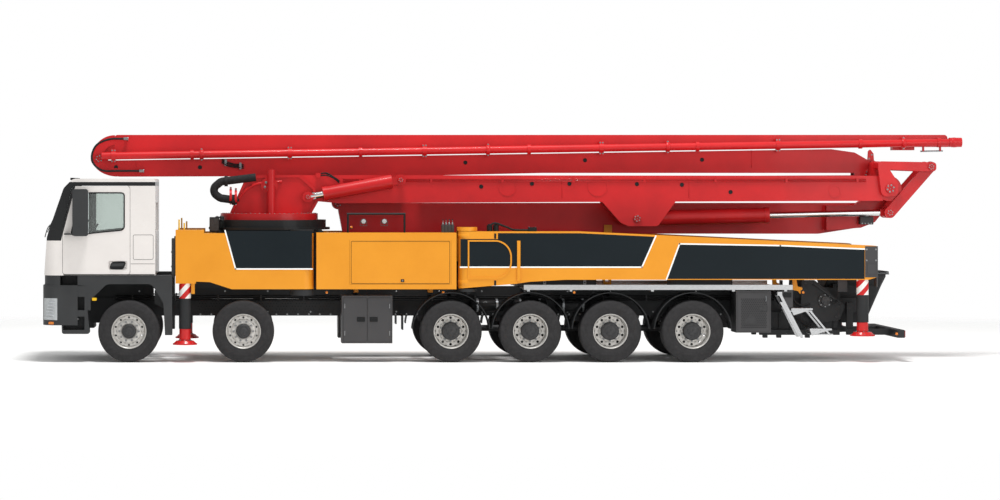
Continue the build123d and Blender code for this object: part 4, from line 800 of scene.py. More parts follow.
def buildSeat(mesh, y, look):
    cushion = rounded([(-7.18, 1.86, 0.05), (-6.7, 1.84, 0.05), (-6.7, 1.99, 0.05), (-7.2, 2.02, 0.06)], 5)
    back = rounded([(-6.8, 1.96, 0.04), (-6.64, 1.96, 0.05), (-6.52, 2.62, 0.06), (-6.66, 2.64, 0.05)], 5)
    head = rounded([(-6.63, 2.66, 0.03), (-6.53, 2.65, 0.03), (-6.5, 2.82, 0.04), (-6.6, 2.84, 0.04)], 5)
    addPrism(mesh, cushion, *about(y, look["seatHalf"]), 0)
    addPrism(mesh, back, *about(y, look["backHalf"]), 0)
    addPrism(mesh, head, *about(y, look["headHalf"]), 0)
    for x in (-7.1, -6.78):
        addBlock(mesh, about(x, 0.03), about(y, 0.18), (1.6, 1.86), 1, 0.01)
    for post in about(y, 0.07):
        addTube(mesh, [(-6.59, post, 2.6), (-6.57, post, 2.7)], 0.008, 2, 8)


def buildCabInside(look):
    mesh = bmesh.new()
    for y in look["seats"]:
        buildSeat(mesh, y, look)
    finishPiece(mesh, "cab_seats", "chassis", [seatCloth, trimBlack, boltSteel], 0.012)
    mesh = bmesh.new()
    dash = rounded([(-7.985, 1.62, 0.03), (-7.62, 1.66, 0.05), (-7.55, 1.98, 0.08), (-7.66, 2.14, 0.06),
                    (-7.96, 2.15, 0.04)], 5)
    addPrism(mesh, dash, -1.12, 1.12, 0)
    binnacle = rounded([(-7.6, 2.06, 0.04), (-7.53, 2.1, 0.03), (-7.58, 2.24, 0.04), (-7.72, 2.2, 0.04)], 4)
    addPrism(mesh, binnacle, -0.82, -0.42, 0)
    for y in (-0.95, -0.3, 0.3, 0.95):
        addBlock(mesh, (-7.562, -7.545), about(y, 0.07), (1.86, 1.94), 1, 0.01)
    finishPiece(mesh, "cab_dashboard", "chassis", [trimBlack, cabPlastic], 0.006)
    # steering wheel on its raked column
    mesh = bmesh.new()
    centre, tilt = Vector(look["wheelCentre"]), math.radians(look["wheelRake"])

    def onWheel(radius, a):
        return centre + Vector((math.sin(tilt) * radius * math.cos(a), radius * math.sin(a),
                                radius * math.cos(a) * math.cos(tilt)))

    addTube(mesh, [onWheel(look["wheelRadius"], 2 * math.pi * k / 36) for k in range(37)], 0.014, 0, 8, 1)
    for k in range(3):
        addTube(mesh, [centre, onWheel(look["wheelRadius"] - 0.005, 2 * math.pi * k / 3 + 0.5)], 0.011, 0, 8)
    addTube(mesh, [centre, centre + Vector((-0.25, 0, -0.22))], 0.035, 0, 12)
    finishPiece(mesh, "steering_wheel", "chassis", [trimBlack])


def buildCabFront(look):
    mesh = bmesh.new()
    # wipers over the windscreen foot
    for y in look["wipers"]:
        addTube(mesh, [(-8.098, y, 2.16), (-8.075, y + 0.3, 2.3), (-8.045, y + 0.56, 2.36)], 0.009, 0, 8)
        addTube(mesh, [(-8.072, y + 0.22, 2.24), (-8.01, y + 0.72, 2.44)], 0.007, 1, 6)
    # marker lamp housings along the roof's front edge
    for y in (-0.95, -0.4, 0.4, 0.95):
        addBlock(mesh, (-7.66, -7.6), about(y, 0.05), (3.146, 3.185), 0, 0.008)
    finishPiece(mesh, "windscreen_wipers", "chassis", [trimBlack, hoseRubber])
    mesh = bmesh.new()
    for sign in (-1, 1):
        # headlamp: reflector bars behind the lens and the indicator below
        for k in range(look["headlampBars"]):
            z = 0.76 + 0.055 * k
            addBlock(mesh, (-8.08 + 0.012 * k, -7.93 + 0.004 * k), (sign * 1.23, sign * 1.246), (z, z + 0.02), 0)
        addBlock(mesh, (-8.02, -7.93), (sign * 1.232, sign * 1.2475), (0.655, 0.7), 1, 0.01)
    finishPiece(mesh, "headlamp_bars", "chassis", [mirrorSilver, amberLens], 0.002)


buildCabOutside(cabLook)
buildCabInside(cabLook)
buildCabFront(cabLook)
print("cab dressed")

boomLook = {
    "plugRadius": 0.036,
    "seamProud": 0.004,
    "hoseRadius": 0.042,
    "clampWidth": 0.08,
    "lineRadius": 0.011,
    "pipeY": 0.396,
    "pipeRadius": 0.067,
    "saddles": (-6.97, -3.83, -1.43, 1.72, 4.865),
    "couplings": (-5.4, -0.3, 2.9, 7.1),
    "lineClips": 8,
    "clipPitch": 1.25,
}
# weld seams: arm, place along, bottom, top, faces across
weldSeams = [
    ("boom_arm_4", -6.57, 3.24, 3.47, (0.478, 0.942)), ("boom_arm_4", 4.406, 3.37, 3.68, (0.478, 0.942)),
    ("boom_arm_1", 0.951, 2.83, 3.2, (-0.202, 0.202)), ("boom_arm_1", 3.186, 2.83, 3.2, (-0.202, 0.202)),
]
# blanked holes: arm, place along, height, faces across
blankedHoles = [("boom_arm_4", x, z, (0.48, 0.94)) for x, z in
                ((-0.696, 3.461), (1.438, 3.502), (3.525, 3.51), (-6.928, 3.377), (-5.43, 3.377))]
blankedHoles += [("boom_arm_1", x, z, (-0.2, 0.2)) for x, z in
                 ((-0.47, 3.032), (0.423, 3.081), (1.083, 3.081), (2.271, 3.076), (3.063, 3.064), (3.92, 2.937))]


def addSeam(mesh, x, low, high, faces, slot=0):
    # rounded weld bead standing on both side faces
    for y in faces:
        addTube(mesh, [(x, y, low), (x, y, high)], boomLook["seamProud"], slot, 8)


def addPlug(mesh, x, z, faces, slot=0):
    # rubber blanking plug in a hole: a lip with a domed middle
    near, far = faces
    for y, out in ((near, -1), (far, 1)):
        r = boomLook["plugRadius"]
        addTurned(mesh, [(0, r), (out * 0.006, r), (out * 0.009, r * 0.86), (out * 0.005, r * 0.7),
                         (out * 0.008, r * 0.3)],
                  (x, y, z), "y", 24, slot)


def addSaddle(mesh, x, y, z, pipe, slot, boltSlot, out=-1):
    # saddle clamp: wide strap round the pipe, two ears and four nuts
    half = boomLook["clampWidth"] / 2
    addTurned(mesh, [(-half, pipe + 0.004), (-half, pipe + 0.014), (half, pipe + 0.014), (half, pipe + 0.004)],
              (x, y, z), "x", 28, slot, closed=True, smooth=False)
    for up in (-1, 1):
        edge = z + up * (pipe + 0.03)
        addBlock(mesh, about(x, half), (y - 0.012, y + 0.05), about(edge, 0.022), slot, 0.006)
        for step in (-0.6, 0.6):
            addBolt(mesh, (x + step * half, y + out * 0.012, edge), out, 0.02, boltSlot)


def addPinCap(mesh, x, z, y, out, radius, slot=0, boltSlot=1):
    # keeper disc over a pin end with a ring of bolts and a grease nipple
    addTurned(mesh, [(0, radius), (out * 0.012, radius), (out * 0.016, radius * 0.94), (out * 0.016, radius * 0.4),
                     (out * 0.01, radius * 0.34)],
              (x, y, z), "y", 32, slot, smooth=False)
    addBoltRing(mesh, (x, y + out * 0.015, z), radius * 0.68, 6, out, radius * 0.26, boltSlot, start=0.3)
    addTurned(mesh, [(0, 0.007), (out * 0.01, 0.007), (out * 0.013, 0.004), (out * 0.018, 0.005)],
              (x, y + out * 0.01, z), "y", 10, boltSlot)


# pin caps: body, place along, height, the two faces, radius
pinCaps = [
    ("boom_arm_2", 6.71, 3.0, (-0.31, None), 0.085), ("boom_arm_2", -2.965, 2.735, (0.48, 0.8), 0.07),
    ("boom_arm_3", 6.5, 3.255, (0.48, 0.8), 0.08), ("boom_arm_4", -7.23, 3.53, (0.48, 0.8), 0.075),
    ("boom_arm_2", 7.427, 3.38, (-0.31, 0.31), 0.058), ("fold_link", 6.72, 2.573, (-0.246, 0.246), 0.062),
    ("turret", -4.2, 3.05, (-0.298, 0.298), 0.12), ("boom_arm_1", -1.9, 3.15, (-0.46, 0.46), 0.045),
    ("lift_rods", -3.526, 2.85, (-0.403, 0.403), 0.046), ("boom_arm_1", 2.275, 2.47, (-0.214, 0.214), 0.068),
]


def buildPinCaps():
    for body in sorted({cap[0] for cap in pinCaps}):
        mesh = bmesh.new()
        for name, x, z, faces, radius in pinCaps:
            if name == body:
                for y, out in zip(faces, (-1, 1)):
                    if y is not None:
                        addPinCap(mesh, x, z, y, out, radius)
        finishPiece(mesh, body + "_pin_caps", body, [turretRed, boltSteel], 0.0015)


def pipeHeight(x):
    # centre line of the delivery pipe on the top arm
    return 3.575 + (x + 7.2) * 0.245 / 15.33


def buildBoomDetails():
    pipeY, wall = boomLook["pipeY"], boomLook["pipeRadius"]
    for arm in ("boom_arm_1", "boom_arm_4"):
        mesh = bmesh.new()
        for name, x, z, faces in blankedHoles:
            if name == arm:
                addPlug(mesh, x, z, faces)
        finishPiece(mesh, arm + "_hole_plugs", arm, [trimBlack])
        mesh = bmesh.new()
        for name, x, low, high, faces in weldSeams:
            if name == arm:
                addSeam(mesh, x, low, high, faces)
        finishPiece(mesh, arm + "_weld_seams", arm, [boomRed])
    mesh = bmesh.new()
    for x in boomLook["saddles"]:
        addSaddle(mesh, x, pipeY, pipeHeight(x), 0.066, 0, 1)
    for x in boomLook["couplings"]:
        # two-bolt couplings between pipe lengths
        z = pipeHeight(x)
        addTurned(mesh, [(-0.035, wall), (-0.035, 0.08), (-0.01, 0.088), (0.01, 0.088), (0.035, 0.08), (0.035, wall)],
                  (x, pipeY, z), "x", 28, 0, closed=True)
        for up in (-1, 1):
            addBolt(mesh, (x, 0.384, z + up * 0.092), -1, 0.024, 1)
            addBlock(mesh, about(x, 0.022), (0.384, 0.42), (z + up * 0.095 - 0.016, z + up * 0.095 + 0.016), 0, 0.005)
    addTurned(mesh, [(-0.05, wall), (-0.05, 0.085), (0.0, 0.09), (0.05, 0.085), (0.05, wall)],
              (8.0, pipeY, pipeHeight(8.0)), "x", 28, 0, closed=True)
    finishPiece(mesh, "arm_5_pipe_clamps", "boom_arm_5", [boomRed, boltSteel], 0.001)


def buildBoomHoses():
    r = boomLook["hoseRadius"]
    # delivery hose round the nose, from arm 4's pipe to arm 5's
    mesh = bmesh.new()
    loop = [(-6.483, 3.311), (-6.85, 3.312), (-7.156, 3.318), (-7.32, 3.434), (-7.354, 3.598), (-7.26, 3.781),
            (-7.035, 3.876), (-6.749, 3.883)]
    addTube(mesh, [(x, 0.4, z) for x, z in loop], r * 0.45, 0, 14, 8)
    piece = finishPiece(mesh, "nose_hose", None, [hoseRubber])
    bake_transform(piece)
    for arm, x, z in (("boom_arm_4", -6.46, 3.311), ("boom_arm_5", -6.74, 3.883)):
        # elbow flange and bracket that hold the hose end to the arm
        mesh = bmesh.new()
        addTurned(mesh, [(-0.05, 0.02), (-0.05, 0.028), (0.02, 0.028), (0.02, 0.034), (0.035, 0.034), (0.035, 0.01)],
                  (x, 0.4, z), "x", 24, 1)
        far = 0.482 if arm == "boom_arm_4" else 0.518
        addBlock(mesh, about(x, 0.03), (0.4, far), about(z, 0.035), 0, 0.01)
        finishPiece(mesh, arm + "_nose_elbow", arm, [boomRed, boltSteel], 0.001)
    # crescent guards that round off the nose, each on its own arm
    for arm, y0, y1, middle, wide, high in (("boom_arm_5", 0.494, 0.514, (-6.95, 3.565), 0.4, 0.385),
                                            ("boom_arm_4", 0.472, 0.4795, (-6.9, 3.545), 0.46, -0.335)):
        mesh = bmesh.new()
        turns = [k * math.pi / 32 for k in range(17)]
        outer = [(middle[0] - wide * math.cos(t), middle[1] + high * math.sin(t)) for t in turns]
        inner = [(middle[0] - (wide - 0.2) * math.cos(t), middle[1] + high * 0.55 * math.sin(t)) for t in turns]
        addPrism(mesh, outer + inner[::-1], y0, y1, 0)
        finishPiece(mesh, arm + "_nose_guard", arm, [boomRed], 0.002)
    # hose bundles tied to the arms
    mesh = bmesh.new()
    for k in range(3):
        y = 0.466 - k * 0.004
        addTube(mesh, [(-5.04, y, 3.52 - k * 0.03), (-4.92, y - 0.02, 3.46 - k * 0.03),
                       (-4.8, y - 0.02, 3.43 - k * 0.025), (-4.65, y, 3.42 - k * 0.03)], 0.011, 0, 8, 5)
    for x, z in ((-4.97, 3.46), (-4.71, 3.4)):
        addBlock(mesh, about(x, 0.02), (0.44, 0.48), about(z, 0.06), 1, 0.01)
    finishPiece(mesh, "arm_4_hose_bundle", "boom_arm_4", [hoseRubber, boltSteel])
    mesh = bmesh.new()
    for side in (-1, 1):
        for k in range(2):
            addTube(mesh, [(-3.33, side * 0.215, 3.25 - k * 0.03), (-3.2, side * (0.26 + k * 0.02), 3.27 - k * 0.04),
                           (-3.07, side * 0.28, 3.2 - k * 0.02),
                           (-2.97, side * 0.22, 3.13 - k * 0.03)], 0.012, 0, 10, 5)
        addBlock(mesh, (-3.38, -3.3), about(side * 0.23, 0.03), (3.19, 3.27), 1, 0.01)
    # pair of steel lines clipped along both faces of arm 1
    for side in (-1, 1):
        for k in range(2):
            z = 3.16 - k * 0.035
            addTube(mesh, [(-2.9, side * 0.213, z), (6.3, side * 0.213, z)], boomLook["lineRadius"], 1, 8)
        for step in range(boomLook["lineClips"]):
            x = -2.6 + step * boomLook["clipPitch"]
            addBlock(mesh, about(x, 0.02), about(side * 0.214, 0.014), (3.105, 3.18), 1, 0.006)
    finishPiece(mesh, "arm_1_lines", "boom_arm_1", [hoseRubber, turretRed])


def buildBoomValves():
    # valve block with its grey cover under arm 2's knee
    mesh = bmesh.new()
    addBlock(mesh, (6.27, 6.5), (0.1, 0.25), (2.36, 2.5), 0, 0.012)
    addTurned(mesh, [(-0.05, 0.045), (-0.045, 0.05), (0.045, 0.05), (0.05, 0.045)], (6.38, 0.17, 2.54), "z", 20, 1,
              smooth=False)
    for k in range(4):
        addBolt(mesh, (6.3 + k * 0.055, 0.1, 2.38), -1, 0.018, 1)
        addTube(mesh, [(6.3 + k * 0.05, 0.2, 2.48), (6.3 + k * 0.05, 0.24, 2.56), (6.2 + k * 0.03, 0.3, 2.62),
                       (6.0, 0.34, 2.6 - k * 0.02)], 0.01, 2, 8, 5)
    finishPiece(mesh, "knee_valve_block", "boom_arm_2", [boxGrey, boltSteel, hoseRubber],
                0.002)
    # bright lock bracket beside arm 4's rear pin
    mesh = bmesh.new()
    addPrism(mesh, rounded([(6.47, 3.5), (6.59, 3.49, 0.02), (6.58, 3.62, 0.02), (6.52, 3.7, 0.02),
                            (6.48, 3.66, 0.02)], 4), 0.456, 0.478, 0)
    for x, z in ((6.5, 3.53), (6.55, 3.6)):
        addBolt(mesh, (x, 0.456, z), -1, 0.022, 1)
    finishPiece(mesh, "arm_4_lock_bracket", "boom_arm_3", [boomRed, boltSteel], 0.002)
    # hose holder under the boom tip
    mesh = bmesh.new()
    for x in (7.45, 7.75):
        addBlock(mesh, about(x, 0.015), (0.37, 0.42), (pipeHeight(x) - 0.15, pipeHeight(x) - 0.06), 0, 0.006)
    addTube(mesh, [(x, boomLook["pipeY"], z) for x, z in ((7.4, 3.66), (7.8, 3.667))], 0.014, 1, 10)
    finishPiece(mesh, "tip_hose_holder", "boom_arm_5", [turretRed, zincSteel], 0.001)


def redEye(x, z):
    return lambda centre, normal: 1 if math.hypot(centre[0] - x, centre[2] - z) < 0.115 else 0


buildBoomDetails()
buildPinCaps()
buildBoomHoses()
buildBoomValves()
splitFaces("lift_rods", (hardChrome, turretRed), redEye(-3.526, 2.85))
splitFaces("fold_rod", (hardChrome, turretRed), redEye(6.72, 2.573))
print("boom details, caps and hoses")

deckLook = {
    "hoseRadius": 0.022,
    "lampRadius": 0.05,
    "lamps": (-2.58, -2.22), "lampY": 1.06, "lampZ": 2.43,
    "beacon": (-2.79, 1.05, 2.3),
    "tankStraps": (0.6, 1.3), "deckHoses": 4, "deckHosePitch": 0.06,
    "motor": (-5.035, 0.43, 2.32),
    "ringX": -4.2, "ringBolts": 60, "footRing": 0.825, "flangeRing": 0.965,
}


def addWorkLamp(mesh, x, y, z, out):
    # round work lamp on a small yoke: housing, lens and fins
    r = deckLook["lampRadius"]
    addTurned(mesh, [(-out * 0.055, r * 0.55), (-out * 0.03, r * 0.9), (out * 0.02, r), (out * 0.028, r),
                     (out * 0.028, r * 0.9)],
              (x, y, z), "y", 28, 0)
    addTurned(mesh, [(out * 0.02, r * 0.9), (out * 0.031, r * 0.7), (out * 0.034, r * 0.2)], (x, y, z), "y", 28, 1)
    for side in (-1, 1):
        addBlock(mesh, (x + side * (r + 0.008) - 0.004, x + side * (r + 0.008) + 0.004), about(y, 0.012),
                 (z - 0.075, z + 0.012), 0)
    addBlock(mesh, (x - r - 0.012, x + r + 0.012), about(y, 0.014), (z - 0.08, z - 0.07), 0)
    addBolt(mesh, (x, y, z - 0.07), 1, 0.018, 2, "z")


def buildDeckLamps():
    mesh = bmesh.new()
    for side in (-1, 1):
        for x in deckLook["lamps"]:
            addWorkLamp(mesh, x, side * deckLook["lampY"], deckLook["lampZ"], side)
    finishPiece(mesh, "work_lamps", "chassis", [boxGrey, clearLens, boltSteel], 0.001)
    mesh = bmesh.new()
    x, y, z = deckLook["beacon"]
    for side in (-1, 1):
        for profile, slot in (([(0, 0.028), (0.012, 0.028), (0.014, 0.024)], 1),
                              ([(0.014, 0.024), (0.03, 0.024), (0.045, 0.018), (0.05, 0.008)], 0)):
            addTurned(mesh, profile, (x, side * y, z), "z", 20, slot)
    finishPiece(mesh, "side_beacons", "chassis", [amberLens, trimBlack])


def addValveBank(mesh, x0, x1, y0, y1, z0, z1, spools):
    # slab of valve sections with spool caps, levers and hose ends
    step = (x1 - x0) / spools
    for k in range(spools):
        a = x0 + k * step
        addBlock(mesh, (a + 0.003, a + step - 0.003), (y0, y1), (z0, z1 - 0.03), 0, 0.006)
        addTurned(mesh, [(0, step * 0.34), (0.03, step * 0.34), (0.038, step * 0.2)],
                  (a + step / 2, (y0 + y1) / 2, z1 - 0.03), "z", 16, 1, smooth=False)
        addTube(mesh, [(a + step / 2, (y0 + y1) / 2, z1), (a + step / 2, (y0 + y1) / 2 - 0.01, z1 + 0.05)], 0.006, 1,
                8)
        addTurned(mesh, [(-0.012, 0.004), (0, 0.012), (0.012, 0.004)],
                  (a + step / 2, (y0 + y1) / 2 - 0.01, z1 + 0.056), "z", 12, 2)


def buildDeckFittings():
    mesh = bmesh.new()
    for side in (-1, 1):
        addValveBank(mesh, -1.22, -1.0, *sideSpan(side, 0.96, 0.8), 2.236, 2.4, 4)
    finishPiece(mesh, "deck_valve_banks", "chassis", [boxGrey, boltSteel, trimBlack], 0.001)
    for name, side in sides:
        # oil filter pots, their hoses and a junction box on the rear outrigger arm
        mesh = bmesh.new()
        for x in (-0.4, -0.29):
            addTurned(mesh, [(0, 0.045), (0.004, 0.05), (0.1, 0.05), (0.108, 0.03), (0.12, 0.03), (0.126, 0.012)],
                      (x, side * 1.08, 2.262), "z", 24, 0, smooth=False)
        for k, y in enumerate((1.13, 1.03)):
            addTube(mesh, [(-0.4 + k * 0.11, side * y, 2.36), (-0.3, side * y, 2.4), (-0.1, side * (y - 0.01), 2.33),
                           (0.02, side * y, 2.285), (0.28, side * y, 2.28)],
                    deckLook["hoseRadius"] * 0.8, 1, 12, 6)
        addBlock(mesh, (0.27, 0.41), sideSpan(side, 1.16, 1.0), (2.256, 2.33), 0, 0.01)
        for x in (0.285, 0.395):
            for y in (1.02, 1.14):
                addBolt(mesh, (x, side * y, 2.33), 1, 0.012, 2, "z")
        finishPiece(mesh, "outrigger_filters_" + name, "rear_outrigger_" + name, [trimBlack, hoseRubber, boltSteel],
                    0.001)
    # straps, filler cap and hoses on the water tanks
    mesh = bmesh.new()
    for x in deckLook["tankStraps"]:
        for side in (-1, 1):
            addBlock(mesh, about(x, 0.025), about(side * 0.643, 0.004), (1.32, 1.94), 0)
            addBolt(mesh, (x, side * 0.648, 1.36), side, 0.02, 1)
    for x, y, z in ((0.9, 0.2, 1.978), (3.4, -0.1, 1.798)):
        addTurned(mesh, [(0, 0.08), (0.02, 0.08), (0.025, 0.09), (0.05, 0.09), (0.058, 0.075)], (x, y, z), "z", 28, 2,
                  smooth=False)
    for k in range(deckLook["deckHoses"]):
        y = -0.3 + k * deckLook["deckHosePitch"]
        addTube(mesh, [(-0.75, y, 2.2), (-0.4, y, 2.16), (0.1, y, 2.02), (1.2, y, 2.0), (1.6, y, 1.94), (2.5, y, 1.7),
                       (3.0, y, 1.82), (3.8, y, 1.82)], 0.018, 3, 10, 6)
    for x in (0.4, 1.1):
        addBlock(mesh, about(x, 0.025), (-0.34, -0.08), (1.975, 2.03), 1, 0.01)
    finishPiece(mesh, "tank_fittings", "chassis", [zincSteel, darkSteel, trimBlack, hoseRubber])


def buildTurretDetails(look):
    # slewing motors with their gearboxes on the ring's flange
    mesh = bmesh.new()
    x, y, z = look["motor"]
    for side in (-1, 1):
        addTurned(mesh, [(0, 0.062), (0.05, 0.062), (0.056, 0.05), (0.13, 0.05), (0.136, 0.04), (0.19, 0.04),
                         (0.196, 0.03)], (x, side * y, z), "z", 28, 0, smooth=False)
        addBoltRing(mesh, (x, side * y, 2.37), 0.054, 6, 1, 0.01, 1, "z")
        addTube(mesh, [(-5.08, side * y, 2.48), (-5.14, side * y, 2.49), (-5.2, side * 0.42, 2.4),
                       (-5.22, side * 0.4, 2.25)], 0.014, 2, 10, 6)
    finishPiece(mesh, "slewing_motors", "chassis", [darkSteel, boltSteel, hoseRubber])
    # bolt heads round the turret's foot
    mesh = bmesh.new()
    addBoltRing(mesh, (look["ringX"], 0, 2.56), look["footRing"], look["ringBolts"], 1, 0.02, 0, "z")
    finishPiece(mesh, "turret_foot_bolts", "turret", [boltSteel])
    # outer ring of bolts on the slewing ring's flange
    mesh = bmesh.new()
    halfStep = math.pi / look["ringBolts"]
    addBoltRing(mesh, (look["ringX"], 0, 2.32), look["flangeRing"], look["ringBolts"], 1, 0.02, 0, "z", halfStep)
    finishPiece(mesh, "ring_flange_bolts", "chassis", [darkSteel])


def buildTurretRibs():
    # pressed flange ribbons on the cheeks, and red clamps on the hose loop
    mesh = bmesh.new()
    for side in (-1, 1):
        path = [(-4.86, 2.58), (-4.76, 2.78), (-4.66, 2.93), (-4.5, 3.05), (-4.3, 3.1), (-3.98, 3.12)]
        addTube(mesh, [(x, side * 0.268, z) for x, z in path], 0.024, 0, 12, 6)
    for x, z in ((-4.88, 2.872), (-4.79, 2.852)):
        addTurned(mesh, [(-0.022, 0.088), (-0.022, 0.112), (0.022, 0.112), (0.022, 0.088)], (x, -0.42, z), "x", 26, 0,
                  closed=True, smooth=False)
        for up in (-1, 1):
            addBlock(mesh, about(x, 0.018), (-0.44, -0.4), (z + up * 0.13 - 0.024, z + up * 0.13 + 0.024), 0, 0.006)
            addBolt(mesh, (x, -0.44, z + up * 0.13), -1, 0.022, 1)
    finishPiece(mesh, "turret_ribs_and_clamps", "turret", [boomRed, boltSteel], 0.0015)
    # junction box beside the ring, and rubbing plates with rollers at the front outriggers' feet
    mesh = bmesh.new()
    addBlock(mesh, (-5.25, -5.08), (-0.76, -0.58), (2.238, 2.5), 0, 0.012)
    addBlock(mesh, (-5.24, -5.09), (-0.772, -0.76), (2.26, 2.48), 1, 0.012)
    for x, z in ((-5.22, 2.28), (-5.11, 2.28), (-5.22, 2.46), (-5.11, 2.46)):
        addBolt(mesh, (x, -0.772, z), -1, 0.014, 1)
    finishPiece(mesh, "ring_junction_box", "chassis", [trimBlack, darkSteel], 0.0015)
    for name, side in sides:
        mesh = bmesh.new()
        near, far = sideSpan(side, 0.93, 1.2)
        addBlock(mesh, (-5.9, -5.832), (near, far), (1.52, 2.14), 0, 0.012)
        for y in (0.99, 1.14):
            addTurned(mesh, [(-0.05, 0.03), (-0.045, 0.036), (0.045, 0.036), (0.05, 0.03)], (-5.87, side * y, 1.5),
                      "y", 20, 1)
            for z in (1.9, 1.65):
                addBolt(mesh, (-5.9, side * y, z), -1, 0.026, 2, "x")
        finishPiece(mesh, "outrigger_stop_" + name, "front_outrigger_" + name, [cabPlastic, darkSteel, boltSteel],
                    0.0015)
    # front mirror over the windscreen's corner, and glass in the two door mirrors
    mesh = bmesh.new()
    addPrism(mesh, rounded([(-7.8, 2.76, 0.03), (-7.735, 2.76, 0.02), (-7.7, 2.93, 0.02), (-7.75, 2.95, 0.03)], 5),
             0.86, 1.12, 0)
    addTube(mesh, [(-7.73, 0.99, 2.94), (-7.68, 0.99, 3.0), (-7.6, 0.99, 3.03)], 0.012, 0, 10, 6)
    finishPiece(mesh, "front_mirror", "chassis", [cabPlastic], 0.004)
    for name, side in sides:
        mesh = bmesh.new()
        for z0, z1 in ((2.46, 2.94), (2.23, 2.43)):
            addPrism(mesh, roundedPanel(side * 1.285, side * 1.415, z0, z1, 0.02, 5), -7.332, -7.322, 0, "yz")
        finishPiece(mesh, "mirror_glass_" + name, "cab_door_" + name, [mirrorSilver])


buildTurretRibs()
buildDeckLamps()
buildDeckFittings()
buildTurretDetails(deckLook)
print("deck and turret fittings")

rearLook = {
    "holePitch": 0.034,
    "latchSize": 0.07,
    "treadBars": 5,
    "holeRows": 17, "holesInRow": 13,
    "airTanks": (-0.4, 0.35, 1.1), "tankY": 0.58, "tankZ": 0.95,
    "agitator": (5.5, 1.04),
    "looms": 3, "loomPitch": 0.035, "clips": 16, "clipPitch": 0.75,
}


def addLatch(mesh, x, y, z, out, slot=0):
    # paddle latch in a shallow tray
    s = rearLook["latchSize"]
    addPrism(mesh, roundedPanel(x - s, x + s, z - s * 0.6, z + s * 0.6, 0.012),
             y, y + out * 0.006, slot)
    addPrism(mesh, roundedPanel(x - s * 0.7, x + s * 0.75, z - s * 0.3, z + s * 0.3, 0.008),
             y + out * 0.004, y + out * 0.013, slot)


def buildLowerBoxDoors():
    for name, side in sides:
        face = side * 1.18
        mesh = bmesh.new()
        # two doors on the front grey box
        for x0, x1 in ((-2.93, -2.53), (-2.51, -2.115)):
            addPrism(mesh, roundedPanel(x0, x1, 0.36, 1.11, 0.03), face, face + side * 0.012, 0)
            addLatch(mesh, x1 - 0.1 if x0 < -2.6 else x0 + 0.1, face + side * 0.012, 0.74, side, 1)
            for z in (0.5, 0.97):
                edge = x0 + 0.02 if x0 < -2.6 else x1 - 0.02
                addTurned(mesh, [(-0.04, 0.009), (0.04, 0.009)], (edge, face + side * 0.014, z), "z", 12, 2)
        finishPiece(mesh, "front_box_doors_" + name, "chassis", [boxGrey, trimBlack, boltSteel],
                    0.002)
        face = side * 1.19
        mesh = bmesh.new()
        # rear grey box: pressed frame, rows of round holes, latch and hook
        addPrism(mesh, roundedPanel(3.88, 4.42, 0.54, 1.2, 0.03), face, face + side * 0.008, 0)
        pitch = rearLook["holePitch"]
        for row in range(rearLook["holeRows"]):
            for k in range(rearLook["holesInRow"]):
                addTurned(mesh, [(0, pitch * 0.3), (side * 0.003, pitch * 0.3), (side * 0.003, pitch * 0.24),
                                 (side * 0.001, pitch * 0.2)],
                          (3.94 + k * pitch + (row % 2) * pitch / 2, face + side * 0.008, 0.6 + row * pitch * 0.9),
                          "y", 10, 1, smooth=False)
        addLatch(mesh, 4.32, face + side * 0.009, 0.93, side, 2)
        recess = rounded([(3.97, 0.66, 0.03), (4.24, 0.66, 0.03), (4.09, 0.86, 0.05)], 5)
        addPrism(mesh, recess, face + side * 0.006, face + side * 0.014, 2)
        addTube(mesh, [(4.36, face + side * 0.01, 1.14), (4.36, face + side * 0.03, 1.13),
                       (4.36, face + side * 0.032, 1.06), (4.36, face + side * 0.01, 1.05)], 0.006, 3, 8, 5)
        finishPiece(mesh, "rear_box_door_" + name, "chassis", [boxGrey, trimBlack, darkSteel, zincSteel],
                    0.001)


def buildHopperDetails():
    mesh = bmesh.new()
    bearingX, bearingZ = rearLook["agitator"]
    for side in (-1, 1):
        y = side * 0.7
        # agitator bearing: flange, boss and bolts
        addTurned(mesh, [(0, 0.12), (side * 0.02, 0.12), (side * 0.024, 0.08), (side * 0.07, 0.075),
                         (side * 0.076, 0.04)], (bearingX, side * 0.6, bearingZ), "y", 32, 0, smooth=False)
        addBoltRing(mesh, (bearingX, side * 0.62, bearingZ), 0.1, 8, side, 0.018, 1)
        # remote box and hose on the hopper's flank
        addBlock(mesh, (5.7, 5.86), (min(y, y + side * 0.05), max(y, y + side * 0.05)), (1.2, 1.4), 2, 0.012)
        addTube(mesh, [(5.7, y + side * 0.02, 1.2), (5.7, y + side * 0.03, 1.08), (5.66, y - side * 0.02, 1.0),
                       (5.58, y - side * 0.04, 1.03)], 0.014, 3, 10, 6)
    # rubber splash lip round the hopper's rim
    for y in (-0.69, 0.69):
        addTube(mesh, [(5.56, y, 1.545), (6.56, y, 1.545)], 0.016, 3, 10)
    addTube(mesh, [(6.585, -0.68, 1.54), (6.585, 0.68, 1.54)], 0.016, 3, 10)
    finishPiece(mesh, "hopper_fittings", "chassis", [darkSteel, boltSteel, boxGrey, hoseRubber],
                0.001)


